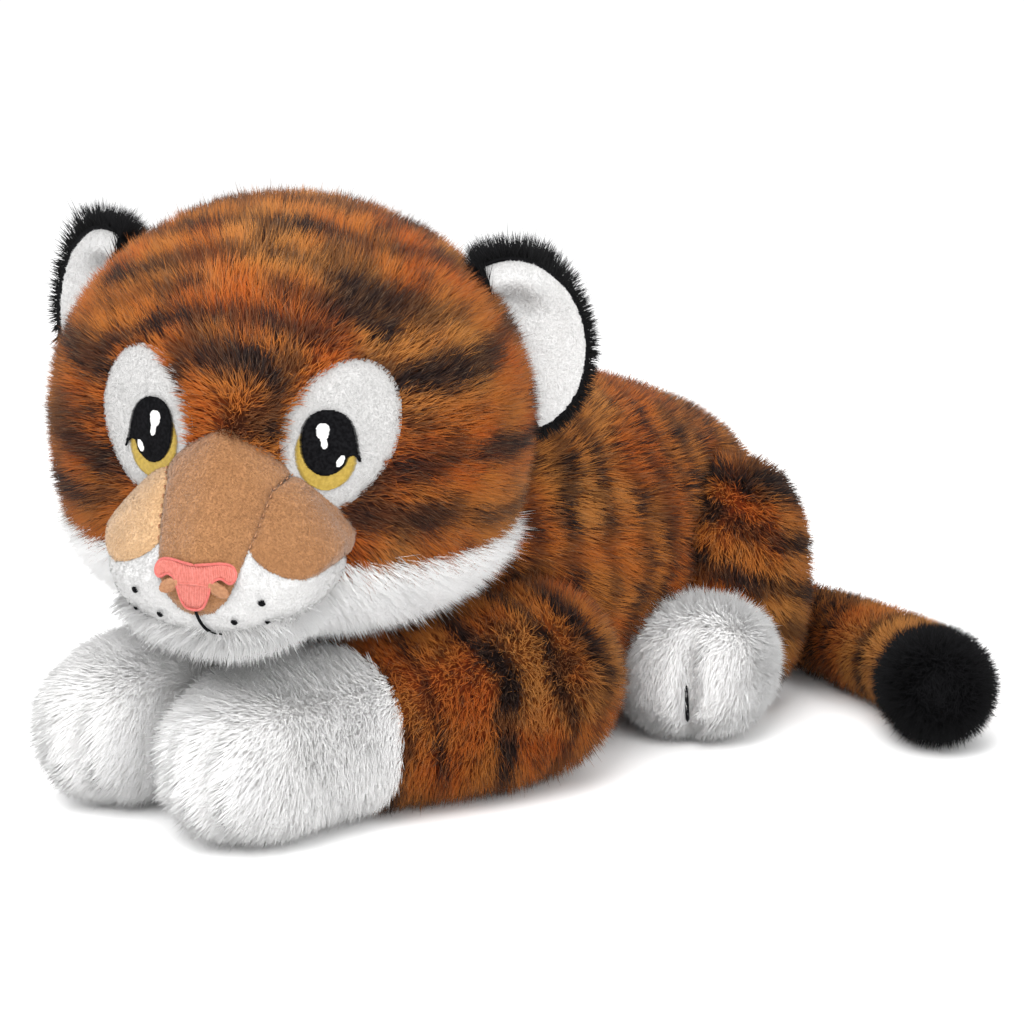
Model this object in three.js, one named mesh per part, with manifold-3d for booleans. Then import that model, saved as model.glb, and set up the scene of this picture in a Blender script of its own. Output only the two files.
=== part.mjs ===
// A lying plush tiger: fur covers and velour panels sewn over polyester stuffing.
// Millimetres, +Z up, the tiger faces -Y with its left side on +X. The origin is
// the middle of the belly's flat underside, on the floor.
import * as THREE from "three";
import { mergeVertices } from "three/addons/utils/BufferGeometryUtils.js";
import Module from "manifold-3d";

const wasm = await Module();
wasm.setup();

// Fabrics and the gaps between sewn pieces
const plushWall = 6.5;
const velourWall = 2.6;
const sewnGap = 0.3;
const turningGap = 1.1;
const floorCut = 0.5;
const threadHeight = 0.8;
const threadWidth = 1.7;
const weldDistance = 0.0001;

// Torso, as sections across its length: place, half width, top and underside
const torsoLength = 266;
const torsoFront = -101;
const torsoHalfWidth = 68;
const torsoHeight = 150;
const torsoSectionShares = [
  { along: 0, half: 0, top: 0.5, base: 0.5 },
  { along: 0.03, half: 0.4, top: 0.66, base: 0.28 },
  { along: 0.08, half: 0.66, top: 0.8, base: 0.1 },
  { along: 0.18, half: 0.88, top: 0.94, base: 0 },
  { along: 0.33, half: 0.98, top: 1, base: 0 },
  { along: 0.52, half: 1, top: 0.99, base: 0 },
  { along: 0.68, half: 0.97, top: 0.92, base: 0 },
  { along: 0.81, half: 0.88, top: 0.84, base: 0 },
  { along: 0.91, half: 0.7, top: 0.72, base: 0 },
  { along: 0.97, half: 0.44, top: 0.57, base: 0.06 },
  { along: 1, half: 0, top: 0.29, base: 0.29 },
];
const torsoPower = 2.4;

// Head: round as seen from above, so that it turns in the neck without rubbing
const headForward = 8;
const headCentre = { x: 0, y: torsoFront - headForward, z: 152 };
const headTurn = THREE.MathUtils.degToRad(28);
const headLean = THREE.MathUtils.degToRad(2.5);
const headRadius = 91;
const headHalfHeight = 79;
const crownPower = 2.2;
const jawPower = 2.9;
const ruffLine = -47;

// Muzzle, as sections along the face's forward direction, from inside the head
const muzzleBack = 61;
const muzzleReach = 50;
const muzzleHalfWidth = 44.5;
const muzzleTop = 3;
const muzzleDepth = 77;
const muzzleSectionShares = [
  { along: 0, half: 0, top: 0.45, base: 0.45 },
  { along: 0.04, half: 0.9, top: 0.98, base: 0.05 },
  { along: 0.3, half: 1, top: 0.99, base: 0 },
  { along: 0.52, half: 0.98, top: 0.9, base: 0 },
  { along: 0.72, half: 0.87, top: 0.72, base: 0.03 },
  { along: 0.88, half: 0.64, top: 0.57, base: 0.1 },
  { along: 0.97, half: 0.34, top: 0.48, base: 0.2 },
  { along: 1, half: 0, top: 0.36, base: 0.36 },
];
const muzzlePower = 2;
const muzzleTaper = 0.4;
const bridgeHalfWidth = 21;
const velourLine = -41;

// Eyes: a velour patch set into the fur, with the eye embroidered on it
const eyePatchSink = 2.6;
const eyePatchOut = 37.5;
const eyePatchUp = 3;
const eyePatchHalfWidth = 17;
const eyePatchHalfHeight = 27;
const eyePatchLean = THREE.MathUtils.degToRad(-14);
const pupilOut = 33.5;
const pupilUp = -1.5;
const pupilHalfWidth = 9;
const pupilHalfHeight = 12.5;
const irisDrop = 2.6;
const largeHighlightRadius = 2.6;
const smallHighlightRadius = 1.3;
const highlightShares = [{ out: -0.17, up: 0.42 }, { out: 0.12, up: -0.02 }];

// Nose, mouth and whisker marks
const noseHeight = 16;
const noseWidth = 28;
const noseUp = -45;
const noseThickness = 2.4;
const noseOutlineShares = [[-0.82, 0.92], [-0.3, 1], [0.3, 1], [0.82, 0.92], [1, 0.6], [0.94, 0.15],
  [0.6, -0.35], [0.22, -0.9], [0, -1], [-0.22, -0.9], [-0.6, -0.35], [-0.94, 0.15], [-1, 0.6]];
const nostrilHalfWidth = 3.6;
const nostrilHalfHeight = 2.4;
const nostrilLean = THREE.MathUtils.degToRad(-29);
const nostrilPlaceShares = { out: 0.32, up: -0.12 };
const nostrilThicknessShare = 0.5;
const mouthLength = 11;
const mouthCurl = 12;
const mouthLineShares = [0, 0.4, 0.8];
const mouthCurlShares = [0.25, 0.6, 1];
const mouthDipShare = 0.12;
const appliqueStartShare = 0.33;
const whiskerDotRadius = 1.2;
const whiskerPlaces = [
  { out: 18, up: -52 },
  { out: 11, up: -59 },
  { out: 20, up: -60 },
];

// Ears: a fur cup with a velour lining, folding about the seam on the head
const earHalfLength = 38;
const earReach = 36;
const earDepth = 17;
const earRim = 7;
const earFront = 3;
const earRoot = 5;
const earUp = 29;
const earBehind = THREE.MathUtils.degToRad(14);
const earSweep = THREE.MathUtils.degToRad(34);
const earTilt = THREE.MathUtils.degToRad(-22);
const earFold = THREE.MathUtils.degToRad(12);

// Front legs: a shoulder ball that turns on the spot, an arm and a paw
const shoulderSink = 8;
const shoulderBack = 55;
const shoulder = { x: torsoHalfWidth - shoulderSink, y: torsoFront + shoulderBack };
const shoulderRadius = 41;
const legReach = 161;
const legFront = shoulder.y - legReach;
const legLength = 180;
const legHalfWidth = 33.5;
const legHeight = 82;
const pawOut = 36;
const elbowOut = 26;
const legSectionShares = [
  { along: 0, half: 0, top: 0.4, base: 0.4, shift: 0 },
  { along: 0.05, half: 0.68, top: 0.76, base: 0.1, shift: 0.02 },
  { along: 0.16, half: 1.02, top: 0.97, base: 0, shift: 0.08 },
  { along: 0.3, half: 1.06, top: 0.94, base: 0, shift: 0.28 },
  { along: 0.42, half: 1.02, top: 0.87, base: 0, shift: 0.58 },
  { along: 0.53, half: 0.99, top: 0.82, base: 0, shift: 0.86 },
  { along: 0.68, half: 1.02, top: 0.81, base: 0, shift: 1.02 },
  { along: 0.84, half: 0.95, top: 0.77, base: 0, shift: 1.02 },
  { along: 0.96, half: 0.62, top: 0.64, base: 0.12, shift: 1 },
  { along: 1, half: 0, top: 0.34, base: 0.34, shift: 1 },
];
const pawLength = 87;
const cuffPlace = legFront + pawLength;
const roundPower = 2;

// Hind legs: a round haunch that turns on the spot, and a paw beside the belly
const hipSink = 13;
const hipAhead = 73;
const hip = { x: torsoHalfWidth - hipSink, y: torsoFront + torsoLength - hipAhead };
const haunchRadius = 37;
const haunchHeight = 111;
const hindPawLength = 84;
const hindPawHalfWidth = 35;
const hindPawHeight = 61;
const hindPawTurn = THREE.MathUtils.degToRad(24);
const hindPawSectionShares = [
  { along: 0, half: 0, top: 0.45, base: 0.45 },
  { along: 0.07, half: 0.62, top: 0.76, base: 0.13 },
  { along: 0.22, half: 0.94, top: 0.95, base: 0 },
  { along: 0.42, half: 1, top: 1, base: 0 },
  { along: 0.66, half: 0.92, top: 0.96, base: 0 },
  { along: 0.92, half: 0.7, top: 0.8, base: 0.1 },
  { along: 1, half: 0, top: 0.45, base: 0.45 },
];
const limbPower = 2.4;
const shoulderRoot = {
  place: shoulder, radius: shoulderRadius, height: 2 * shoulderRadius, power: roundPower,
};
const hipRoot = { place: hip, radius: haunchRadius, height: haunchHeight, power: limbPower };

// Tail: sewn on behind, it lies on the floor round the left haunch. Its places are
// shares of its reach from the root, and its girth and rise are shares of a radius
const tailRootSink = 10;
const tailRoot = { x: 9, y: torsoFront + torsoLength - tailRootSink };
const tailRootRadius = 21;
const tailReach = 164;
const tailRadius = 21.5;
const tipRadius = 25;
const pressedShare = 0.3;
const tailShares = [
  { out: -0.024, back: -0.018, girth: 0, rise: 1 },
  { out: 0.049, back: 0.031, girth: 0.9, rise: 0 },
  { out: 0.177, back: 0.049, girth: 0.93, rise: 0 },
  { out: 0.329, back: 0.012, girth: 0.97, rise: 0 },
  { out: 0.482, back: -0.049, girth: 1, rise: 0 },
  { out: 0.628, back: -0.11, girth: 1.02, rise: 0 },
  { out: 0.738, back: -0.171, girth: 1.05, rise: 0 },
];
const tipShares = [
  { out: 0.835, back: -0.25, girth: 0.93, rise: 0 },
  { out: 0.915, back: -0.329, girth: 1, rise: 0 },
  { out: 0.976, back: -0.409, girth: 0.72, rise: 0.25 },
  { out: 1, back: -0.445, girth: 0, rise: 1 },
];
const tipSeamShare = { out: 0.787, back: -0.21 };
const tipSeamTurn = THREE.MathUtils.degToRad(-41);
const tailBase = {
  place: tailRoot, radius: tailRootRadius, height: 2 * tailRootRadius, power: roundPower,
};

// Toe stitches, as places across a paw
const toeStitchSpacing = 17;
const toeStitchBottom = 8;
const toeStitchTop = 40;
const hindToeStitchOut = 3;
const toeDepth = 30;

// Fineness of the faceted forms
const torsoFacets = 20;
const torsoSteps = 14;
const headFacets = 28;
const headSteps = 16;
const neckFacets = 56;
const muzzleFacets = 20;
const muzzleSteps = 10;
const limbFacets = 16;
const limbSteps = 12;
const pawSteps = 8;
const ballFacets = 18;
const ballSteps = 8;
const tailFacets = 12;
const tailSteps = 16;
const outlinePoints = 16;
const workingSpan = 900;
const outerPlainness = 1;
const innerPlainness = 2;

// Hidden inner skins are plainer than outer ones
const countFor = (count, inset) => (inset > sewnGap ? Math.ceil(count / 4) * 2 : count);

// Solids: three.js geometry in, closed solids out

function bareGeometry(geometry) {
  const bare = geometry.clone();
  for (const name of Object.keys(bare.attributes)) {
    if (name !== "position") bare.deleteAttribute(name);
  }
  return mergeVertices(bare, weldDistance);
}

function signedVolume(geometry) {
  const place = geometry.attributes.position;
  const index = geometry.index.array;
  const [a, b, c] = [new THREE.Vector3(), new THREE.Vector3(), new THREE.Vector3()];
  let sum = 0;
  for (let i = 0; i < index.length; i += 3) {
    a.fromBufferAttribute(place, index[i]);
    b.fromBufferAttribute(place, index[i + 1]);
    c.fromBufferAttribute(place, index[i + 2]);
    sum += a.dot(b.cross(c));
  }
  return sum;
}

function turnedOutward(geometry) {
  if (signedVolume(geometry) >= 0) return geometry;
  const index = geometry.index.array;
  for (let i = 0; i < index.length; i += 3) {
    [index[i], index[i + 1]] = [index[i + 1], index[i]];
  }
  return geometry;
}

function withoutThinFaces(geometry) {
  const index = [...geometry.index.array];
  const kept = [];
  for (let i = 0; i < index.length; i += 3) {
    const [a, b, c] = index.slice(i, i + 3);
    if (a !== b && b !== c && c !== a) kept.push(a, b, c);
  }
  geometry.setIndex(kept);
  return geometry;
}

function solidOf(geometry) {
  const closed = turnedOutward(withoutThinFaces(bareGeometry(geometry)));
  return new wasm.Manifold(new wasm.Mesh({
    numProp: 3,
    vertProperties: new Float32Array(closed.attributes.position.array),
    triVerts: new Uint32Array(closed.index.array),
  }));
}

function geometryOf(solid) {
  const mesh = solid.getMesh();
  const geometry = new THREE.BufferGeometry();
  geometry.setAttribute("position", new THREE.BufferAttribute(new Float32Array(mesh.vertProperties), 3));
  geometry.setIndex([...mesh.triVerts]);
  geometry.computeVertexNormals();
  return geometry;
}

function mirrored(geometry) {
  return turnedOutward(geometry.clone().scale(-1, 1, 1));
}

// The half of space beyond a plane, as a box large enough for the whole toy
function beyond(point, direction) {
  const box = new THREE.BoxGeometry(workingSpan, workingSpan, workingSpan);
  box.translate(0, 0, workingSpan / 2);
  const up = new THREE.Vector3(0, 0, 1);
  const turn = new THREE.Quaternion().setFromUnitVectors(up, direction.clone().normalize());
  box.applyQuaternion(turn);
  box.translate(point.x, point.y, point.z);
  return solidOf(box);
}

const [alongX, alongY, alongZ] = [
  new THREE.Vector3(1, 0, 0), new THREE.Vector3(0, 1, 0), new THREE.Vector3(0, 0, 1),
];
const belowFloor = beyond(new THREE.Vector3(), alongZ.clone().negate());

// Soft forms

function signedPower(value, power) {
  return Math.sign(value) * Math.abs(value) ** (2 / power);
}

// A closed skin through rings of points, with a pole at either end
function ringSkin(rings, facets) {
  const points = [...rings[0][0].toArray()];
  const faces = [];
  for (const ring of rings.slice(1, -1)) ring.forEach((point) => points.push(...point.toArray()));
  points.push(...rings.at(-1)[0].toArray());
  const inner = rings.length - 2;
  const last = 1 + inner * facets;
  for (let k = 0; k < facets; k += 1) {
    const next = (k + 1) % facets;
    faces.push(0, 1 + next, 1 + k);
    for (let ring = 0; ring < inner - 1; ring += 1) {
      const here = 1 + ring * facets;
      const there = here + facets;
      faces.push(here + k, here + next, there + k, here + next, there + next, there + k);
    }
    faces.push(last - facets + k, last - facets + next, last);
  }
  const geometry = new THREE.BufferGeometry();
  geometry.setAttribute("position", new THREE.Float32BufferAttribute(points, 3));
  geometry.setIndex(faces);
  return geometry;
}

// A form drawn through sections along Y: each is a rounded box, wider than tall or
// the reverse, and inset moves the whole skin inwards. Its facets lie flat at the
// section's top and underside
function sectionForm(sections, { power, facets, steps, taper = 0, inset = 0 }) {
  const across = sections.map((s) => new THREE.Vector3(s.y, s.half, s.shift ?? 0));
  const upright = sections.map((s) => new THREE.Vector3(s.y, s.top, s.base));
  const [around, along] = [countFor(facets, inset), countFor(steps, inset)];
  const acrossCurve = new THREE.CatmullRomCurve3(across, false, "catmullrom", 0.5);
  const uprightCurve = new THREE.CatmullRomCurve3(upright, false, "catmullrom", 0.5);
  const angles = Array.from({ length: around }, (_, k) => (k + 1 / 2) / around * 2 * Math.PI);
  const tallest = Math.max(...angles.map((angle) => signedPower(Math.sin(angle), power)));
  const middle = (sections[0].y + sections.at(-1).y) / 2;
  const halfSpan = Math.abs(sections.at(-1).y - sections[0].y) / 2;
  const rings = [];
  for (let i = 0; i <= along; i += 1) {
    const [side, tall] = [acrossCurve.getPoint(i / along), uprightCurve.getPoint(i / along)];
    const y = middle + (side.x - middle) * (halfSpan - inset) / halfSpan;
    const half = Math.max(side.y - inset, 0);
    const rise = Math.max((tall.y - tall.z) / 2 - inset, 0);
    rings.push(angles.map((angle) => {
      const cos = signedPower(Math.cos(angle), power);
      const sin = signedPower(Math.sin(angle), power) / tallest;
      const out = half * cos * (1 - taper * Math.max(sin, 0));
      return new THREE.Vector3(side.z + out, y, (tall.y + tall.z) / 2 + rise * sin);
    }));
  }
  return ringSkin(rings, around);
}

function spun(profile, facets) {
  return new THREE.LatheGeometry(profile, facets).rotateX(Math.PI / 2);
}

// A ball or egg that stands upright and is round from above
function uprightBall(radius, low, high, facets, steps, lowPower, highPower) {
  const middle = (low + high) / 2;
  const half = (high - low) / 2;
  const profile = [];
  for (let i = 0; i <= steps; i += 1) {
    const angle = (i / steps - 1 / 2) * Math.PI;
    const power = angle < 0 ? lowPower : highPower;
    const out = i % steps === 0 ? 0 : radius * signedPower(Math.cos(angle), power);
    profile.push(new THREE.Vector2(out, middle + half * signedPower(Math.sin(angle), power)));
  }
  return spun(profile, facets);
}

function ellipsePoints(out, up, halfWidth, halfHeight, lean = 0, count = outlinePoints) {
  const points = [];
  for (let k = 0; k < count; k += 1) {
    const angle = k / count * 2 * Math.PI;
    const point = new THREE.Vector2(halfWidth * Math.cos(angle), halfHeight * Math.sin(angle));
    points.push(point.rotateAround(new THREE.Vector2(), lean).add(new THREE.Vector2(out, up)));
  }
  return points;
}

// An outline in X and Z pushed forwards, along -Y, from a place behind the front skin
function frontPrism(points, from) {
  const shape = new THREE.Shape(points);
  const prism = new THREE.ExtrudeGeometry(shape, { depth: workingSpan / 2, bevelEnabled: false });
  return solidOf(prism.rotateX(Math.PI / 2).translate(0, -from, 0));
}

// A band of even width along a line of points in X and Z
function strokePoints(line, width) {
  const sides = [[], []];
  line.forEach((point, i) => {
    const before = line[Math.max(i - 1, 0)];
    const after = line[Math.min(i + 1, line.length - 1)];
    const across = after.clone().sub(before).normalize().rotateAround(new THREE.Vector2(), Math.PI / 2);
    sides[0].push(point.clone().addScaledVector(across, width / 2));
    sides[1].unshift(point.clone().addScaledVector(across, -width / 2));
  });
  return [...sides[0], ...sides[1]];
}

// Torso

function torsoSections() {
  return torsoSectionShares.map((share) => ({
    y: torsoFront + torsoLength * share.along,
    half: torsoHalfWidth * share.half,
    top: torsoHeight * share.top,
    base: torsoHeight * share.base - floorCut,
  }));
}

function torsoForm(inset) {
  const fineness = { power: torsoPower, facets: torsoFacets, steps: torsoSteps };
  return solidOf(sectionForm(torsoSections(), { ...fineness, inset }));
}

// The head's ball and frame come before the torso, which is cut to let it turn
function headBall(inset, facets = countFor(headFacets, inset)) {
  return uprightBall(headRadius - inset, inset - headHalfHeight, headHalfHeight - inset,
    facets, countFor(headSteps, inset), jawPower, crownPower);
}

// Room for the head in the neck, finer than the head so that it turns at a small gap
function headRoom(plainness) {
  const facets = neckFacets / plainness;
  const reach = sewnGap + headRadius * (1 / Math.cos(Math.PI / facets) - 1);
  return solidOf(headBall(-reach, facets).applyMatrix4(headFrame.matrix));
}

const headFrame = new THREE.Object3D();
headFrame.position.copy(headCentre);
headFrame.rotation.set(0, headLean, headTurn, "ZYX");
headFrame.updateMatrix();

function headForm(inset) {
  return solidOf(headBall(inset));
}

// The root of a limb, round from above so that it turns on the spot
function rootBall(root, inset, plainness = outerPlainness) {
  const { place, radius, height, power } = root;
  const facets = countFor(ballFacets, inset) / plainness;
  return uprightBall(radius - inset, inset - floorCut, height - floorCut - inset, facets,
    countFor(ballSteps, inset), power, power).translate(place.x, place.y, 0);
}

// Room for a root in the torso, open down to the floor, as wide as the root's corners
function rootRoom(root, gap, plainness) {
  const facets = ballFacets / plainness;
  const reach = gap + root.radius * (1 / Math.cos(Math.PI / facets) - 1);
  const skirt = new THREE.CylinderGeometry(root.radius + reach, root.radius + reach, workingSpan, facets);
  skirt.rotateX(Math.PI / 2).translate(root.place.x, root.place.y, (root.height - workingSpan) / 2);
  return [rootBall(root, -reach, plainness), skirt].map(bareGeometry);
}

function sockets(gap, plainness) {
  let room = headRoom(plainness);
  for (const root of [shoulderRoot, hipRoot]) {
    for (const geometry of rootRoom(root, gap, plainness)) {
      room = room.add(solidOf(geometry)).add(solidOf(mirrored(geometry)));
    }
  }
  for (const geometry of rootRoom(tailBase, gap, plainness)) room = room.add(solidOf(geometry));
  return room;
}

function torsoPieces() {
  const cover = torsoForm(0).subtract(torsoForm(plushWall)).subtract(sockets(turningGap, outerPlainness));
  const stuffing = torsoForm(plushWall + sewnGap).subtract(sockets(turningGap, innerPlainness));
  return { cover: cover.subtract(belowFloor), stuffing };
}

// Head, in its own frame: the origin in its middle, facing -Y

function muzzleForm(inset) {
  const sections = muzzleSectionShares.map((share) => ({
    y: -(muzzleBack + muzzleReach * share.along),
    half: muzzleHalfWidth * share.half,
    top: muzzleTop - muzzleDepth * (1 - share.top),
    base: muzzleTop - muzzleDepth * (1 - share.base),
  }));
  const fineness = { power: muzzlePower, facets: muzzleFacets, steps: muzzleSteps, taper: muzzleTaper };
  return solidOf(sectionForm(sections, { ...fineness, inset }));
}

// A thin layer on a form, cut to an outline seen from the front
function applique(form, low, high, points, from) {
  return form(-high).subtract(form(-low)).intersect(frontPrism(points, from));
}

function eyePatchPoints(side, grow) {
  const points = ellipsePoints(0, 0, eyePatchHalfWidth + grow, eyePatchHalfHeight + grow, eyePatchLean);
  return points.map((point) => new THREE.Vector2(side * (eyePatchOut + point.x), eyePatchUp + point.y));
}

function eyePieces(side) {
  const low = sewnGap - eyePatchSink;
  const high = low + threadHeight;
  const oval = (grow, drop = 0) => ellipsePoints(side * pupilOut, pupilUp - drop,
    pupilHalfWidth + grow, pupilHalfHeight + grow);
  const spot = (out, up, radius) => ellipsePoints(side * pupilOut + out, pupilUp + up, radius, radius);
  const highlights = [largeHighlightRadius, smallHighlightRadius].map((radius, i) => [
    pupilHalfWidth * highlightShares[i].out, pupilHalfHeight * highlightShares[i].up, radius,
  ]);
  const layer = (points) => applique(headForm, low, high, points, 0);
  const through = (points) => frontPrism(points, 0);
  let pupil = layer(oval(0));
  for (const [out, up, radius] of highlights) {
    pupil = pupil.subtract(through(spot(out, up, radius + sewnGap)));
  }
  return {
    patch: applique(headForm, -plushWall, -eyePatchSink, eyePatchPoints(side, 0), 0),
    pupil,
    iris: layer(oval(0, irisDrop)).subtract(through(oval(sewnGap))),
    large_highlight: layer(spot(...highlights[0])),
    small_highlight: layer(spot(...highlights[1])),
  };
}

function nosePoints(grow) {
  const [half, tall] = [noseWidth / 2 + grow, noseHeight / 2 + grow];
  return noseOutlineShares.map(([out, up]) => new THREE.Vector2(half * out, noseUp + tall * up));
}

function nostrilPoints(side, grow) {
  const { out, up } = nostrilPlaceShares;
  return ellipsePoints(side * noseWidth * out, noseUp + noseHeight * up,
    nostrilHalfWidth + grow, nostrilHalfHeight + grow, side * nostrilLean, outlinePoints / 2);
}

function mouthPoints() {
  const start = noseUp - noseHeight / 2 - sewnGap;
  const line = mouthLineShares.map((share) => new THREE.Vector2(0, start - mouthLength * share));
  for (const share of mouthCurlShares) {
    const dip = 1 + mouthDipShare * Math.sin(share * Math.PI);
    line.push(new THREE.Vector2(mouthCurl * share, start - mouthLength * dip));
  }
  return strokePoints(line, threadWidth);
}

function muzzlePieces() {
  const shell = muzzleForm(0).subtract(muzzleForm(velourWall));
  const open = new THREE.Vector3(0, -muzzleBack - velourWall, 0);
  const front = shell.intersect(beyond(open, alongY.clone().negate()));
  const place = (x, z) => new THREE.Vector3(x, 0, z);
  const half = sewnGap / 2;
  const upper = front.intersect(beyond(place(0, velourLine + half), alongZ));
  const lower = front.intersect(beyond(place(0, velourLine - half), alongZ.clone().negate()));
  const leftOf = (x) => beyond(place(x, 0), alongX);
  const rightOf = (x) => beyond(place(x, 0), alongX.clone().negate());
  return {
    muzzle_bridge: upper.intersect(leftOf(-bridgeHalfWidth)).intersect(rightOf(bridgeHalfWidth)),
    lower_muzzle: lower,
    left_muzzle_panel: upper.intersect(leftOf(bridgeHalfWidth + sewnGap)),
    right_muzzle_panel: upper.intersect(rightOf(-bridgeHalfWidth - sewnGap)),
    muzzle_stuffing: muzzleForm(velourWall + sewnGap).intersect(beyond(open, alongY.clone().negate())),
  };
}

function facePieces() {
  const inside = muzzleBack + muzzleReach * appliqueStartShare;
  const onMuzzle = (height, points) => applique(muzzleForm, sewnGap, sewnGap + height, points, inside);
  const thread = (points) => onMuzzle(threadHeight, points);
  const nostrils = [1, -1].map((side) => frontPrism(nostrilPoints(side, sewnGap), inside));
  const pieces = {
    nose: onMuzzle(noseThickness, nosePoints(0)).subtract(nostrils[0]).subtract(nostrils[1]),
    left_nostril: onMuzzle(noseThickness * nostrilThicknessShare, nostrilPoints(1, 0)),
    right_nostril: onMuzzle(noseThickness * nostrilThicknessShare, nostrilPoints(-1, 0)),
    mouth_stitch: thread(mouthPoints()),
  };
  for (const [name, side] of [["left", 1], ["right", -1]]) {
    whiskerPlaces.forEach(({ out, up }, i) => {
      const dot = ellipsePoints(side * out, up, whiskerDotRadius, whiskerDotRadius, 0, outlinePoints / 2);
      pieces[`${name}_whisker_dot_${i + 1}`] = thread(dot);
    });
  }
  return pieces;
}

function headPieces() {
  const muzzleRoom = muzzleForm(-sewnGap);
  const shell = headForm(0).subtract(headForm(plushWall)).subtract(muzzleRoom);
  const half = sewnGap / 2;
  const ruffPlace = (shift) => new THREE.Vector3(0, 0, ruffLine + shift);
  let crown = shell.intersect(beyond(ruffPlace(half), alongZ));
  for (const side of [1, -1]) {
    crown = crown.subtract(frontPrism(eyePatchPoints(side, sewnGap), 0));
  }
  const pieces = {
    head_cover: crown,
    jaw_ruff: shell.intersect(beyond(ruffPlace(-half), alongZ.clone().negate())),
    head_stuffing: headForm(plushWall + sewnGap).subtract(muzzleRoom),
    ...muzzlePieces(),
    ...facePieces(),
  };
  for (const [name, side] of [["left", 1], ["right", -1]]) {
    for (const [part, solid] of Object.entries(eyePieces(side))) {
      pieces[`${name}_eye_${part}`] = solid.subtract(muzzleRoom);
    }
  }
  return pieces;
}

// Ear, in its own frame: the seam along Z through the origin, standing out along X

function cup(reach, halfLength, depth, front) {
  const bowl = new THREE.SphereGeometry(1, ballFacets, ballSteps);
  return solidOf(bowl.scale(reach, depth, halfLength)).subtract(
    beyond(new THREE.Vector3(0, -front, 0), alongY.clone().negate()),
  );
}

function earFrame(side) {
  const out = headRadius * (1 - (earUp / headHalfHeight) ** crownPower) ** (1 / crownPower) + sewnGap;
  const frame = new THREE.Object3D();
  frame.position.set(side * out * Math.cos(earBehind), out * Math.sin(earBehind), earUp);
  frame.rotation.set(0, side * earTilt, side * earSweep, "ZYX");
  frame.updateMatrix();
  return frame;
}

function leftEarPieces() {
  const [reach, length] = [earReach, earHalfLength];
  const hollow = [reach - earRim, length - earRim, earDepth - earRim];
  const lining = hollow.map((size) => size - sewnGap);
  let back = cup(reach, length, earDepth, earFront).subtract(cup(...hollow, workingSpan));
  const hollowed = lining.map((size) => size - velourWall);
  let inside = cup(...lining, earFront).subtract(cup(...hollowed, workingSpan));
  const intoEar = earFrame(1).matrix.clone().invert();
  const root = beyond(new THREE.Vector3(-earRoot, 0, 0), alongX.clone().negate());
  for (const fold of [-earFold, 0, earFold]) {
    const turned = solidOf(headBall(-sewnGap).applyMatrix4(intoEar).rotateZ(fold));
    [back, inside] = [back.subtract(turned), inside.subtract(turned)];
  }
  return { ear_back: back.subtract(root), ear_lining: inside.subtract(root) };
}

// Front legs

function legSections() {
  return legSectionShares.map((share) => ({
    y: legFront + legLength * (1 - share.along),
    half: legHalfWidth * share.half,
    top: legHeight * share.top,
    base: legHeight * share.base - floorCut,
    shift: pawOut + elbowOut * (1 - share.shift),
  }));
}

function armForm(inset) {
  const fineness = { power: limbPower, facets: limbFacets, steps: limbSteps };
  return solidOf(sectionForm(legSections(), { ...fineness, inset }));
}

function frontLegForm(inset) {
  const arm = armForm(inset).subtract(torsoForm(-sewnGap - inset));
  return arm.add(solidOf(rootBall(shoulderRoot, inset)));
}

function toeStitch(form, x, from) {
  const line = [new THREE.Vector2(x, toeStitchBottom), new THREE.Vector2(x, toeStitchTop)];
  return applique(form, sewnGap, sewnGap + threadHeight, strokePoints(line, threadWidth), from);
}

function leftFrontLegPieces() {
  const shell = frontLegForm(0).subtract(frontLegForm(plushWall)).subtract(belowFloor);
  const cuff = (shift) => new THREE.Vector3(0, cuffPlace + shift, 0);
  const half = sewnGap / 2;
  return {
    front_sleeve: shell.intersect(beyond(cuff(half), alongY)),
    front_paw: shell.intersect(beyond(cuff(-half), alongY.clone().negate())),
    front_leg_stuffing: frontLegForm(plushWall + sewnGap),
    front_toe_stitch_1: toeStitch(armForm, pawOut - toeStitchSpacing / 2, -legFront - toeDepth),
    front_toe_stitch_2: toeStitch(armForm, pawOut + toeStitchSpacing / 2, -legFront - toeDepth),
  };
}

// Hind legs

// The paw in its own frame: the hip at the origin, pointing along -Y
function straightHindPaw(inset) {
  const sections = hindPawSectionShares.map((share) => ({
    y: hindPawLength * (share.along - 1),
    half: hindPawHalfWidth * share.half,
    top: hindPawHeight * share.top,
    base: hindPawHeight * share.base - floorCut,
  }));
  return sectionForm(sections, { power: limbPower, facets: limbFacets, steps: pawSteps, inset });
}

function hindPawForm(inset) {
  return solidOf(straightHindPaw(inset).rotateZ(hindPawTurn).translate(hip.x, hip.y, 0));
}

function leftHindLegPieces() {
  const haunchForm = (inset) => solidOf(rootBall(hipRoot, inset));
  const ankle = hindPawForm(plushWall).subtract(torsoForm(-plushWall));
  const paw = hindPawForm(0).subtract(ankle).subtract(torsoForm(-sewnGap)).subtract(haunchForm(-sewnGap));
  const haunch = haunchForm(0).subtract(haunchForm(plushWall)).subtract(ankle);
  const filling = hindPawForm(plushWall + sewnGap).subtract(torsoForm(-plushWall - sewnGap));
  const stitch = toeStitch((inset) => solidOf(straightHindPaw(inset)), hindToeStitchOut,
    hindPawLength - toeDepth);
  return {
    haunch: haunch.subtract(belowFloor),
    hind_paw: paw.subtract(belowFloor),
    hind_leg_stuffing: haunchForm(plushWall + sewnGap).add(filling),
    hind_toe_stitch: solidOf(geometryOf(stitch).rotateZ(hindPawTurn).translate(hip.x, hip.y, 0)),
  };
}

// Tail

function tailPlace({ out, back }) {
  return { x: tailRoot.x + tailReach * out, y: tailRoot.y + tailReach * back };
}

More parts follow.
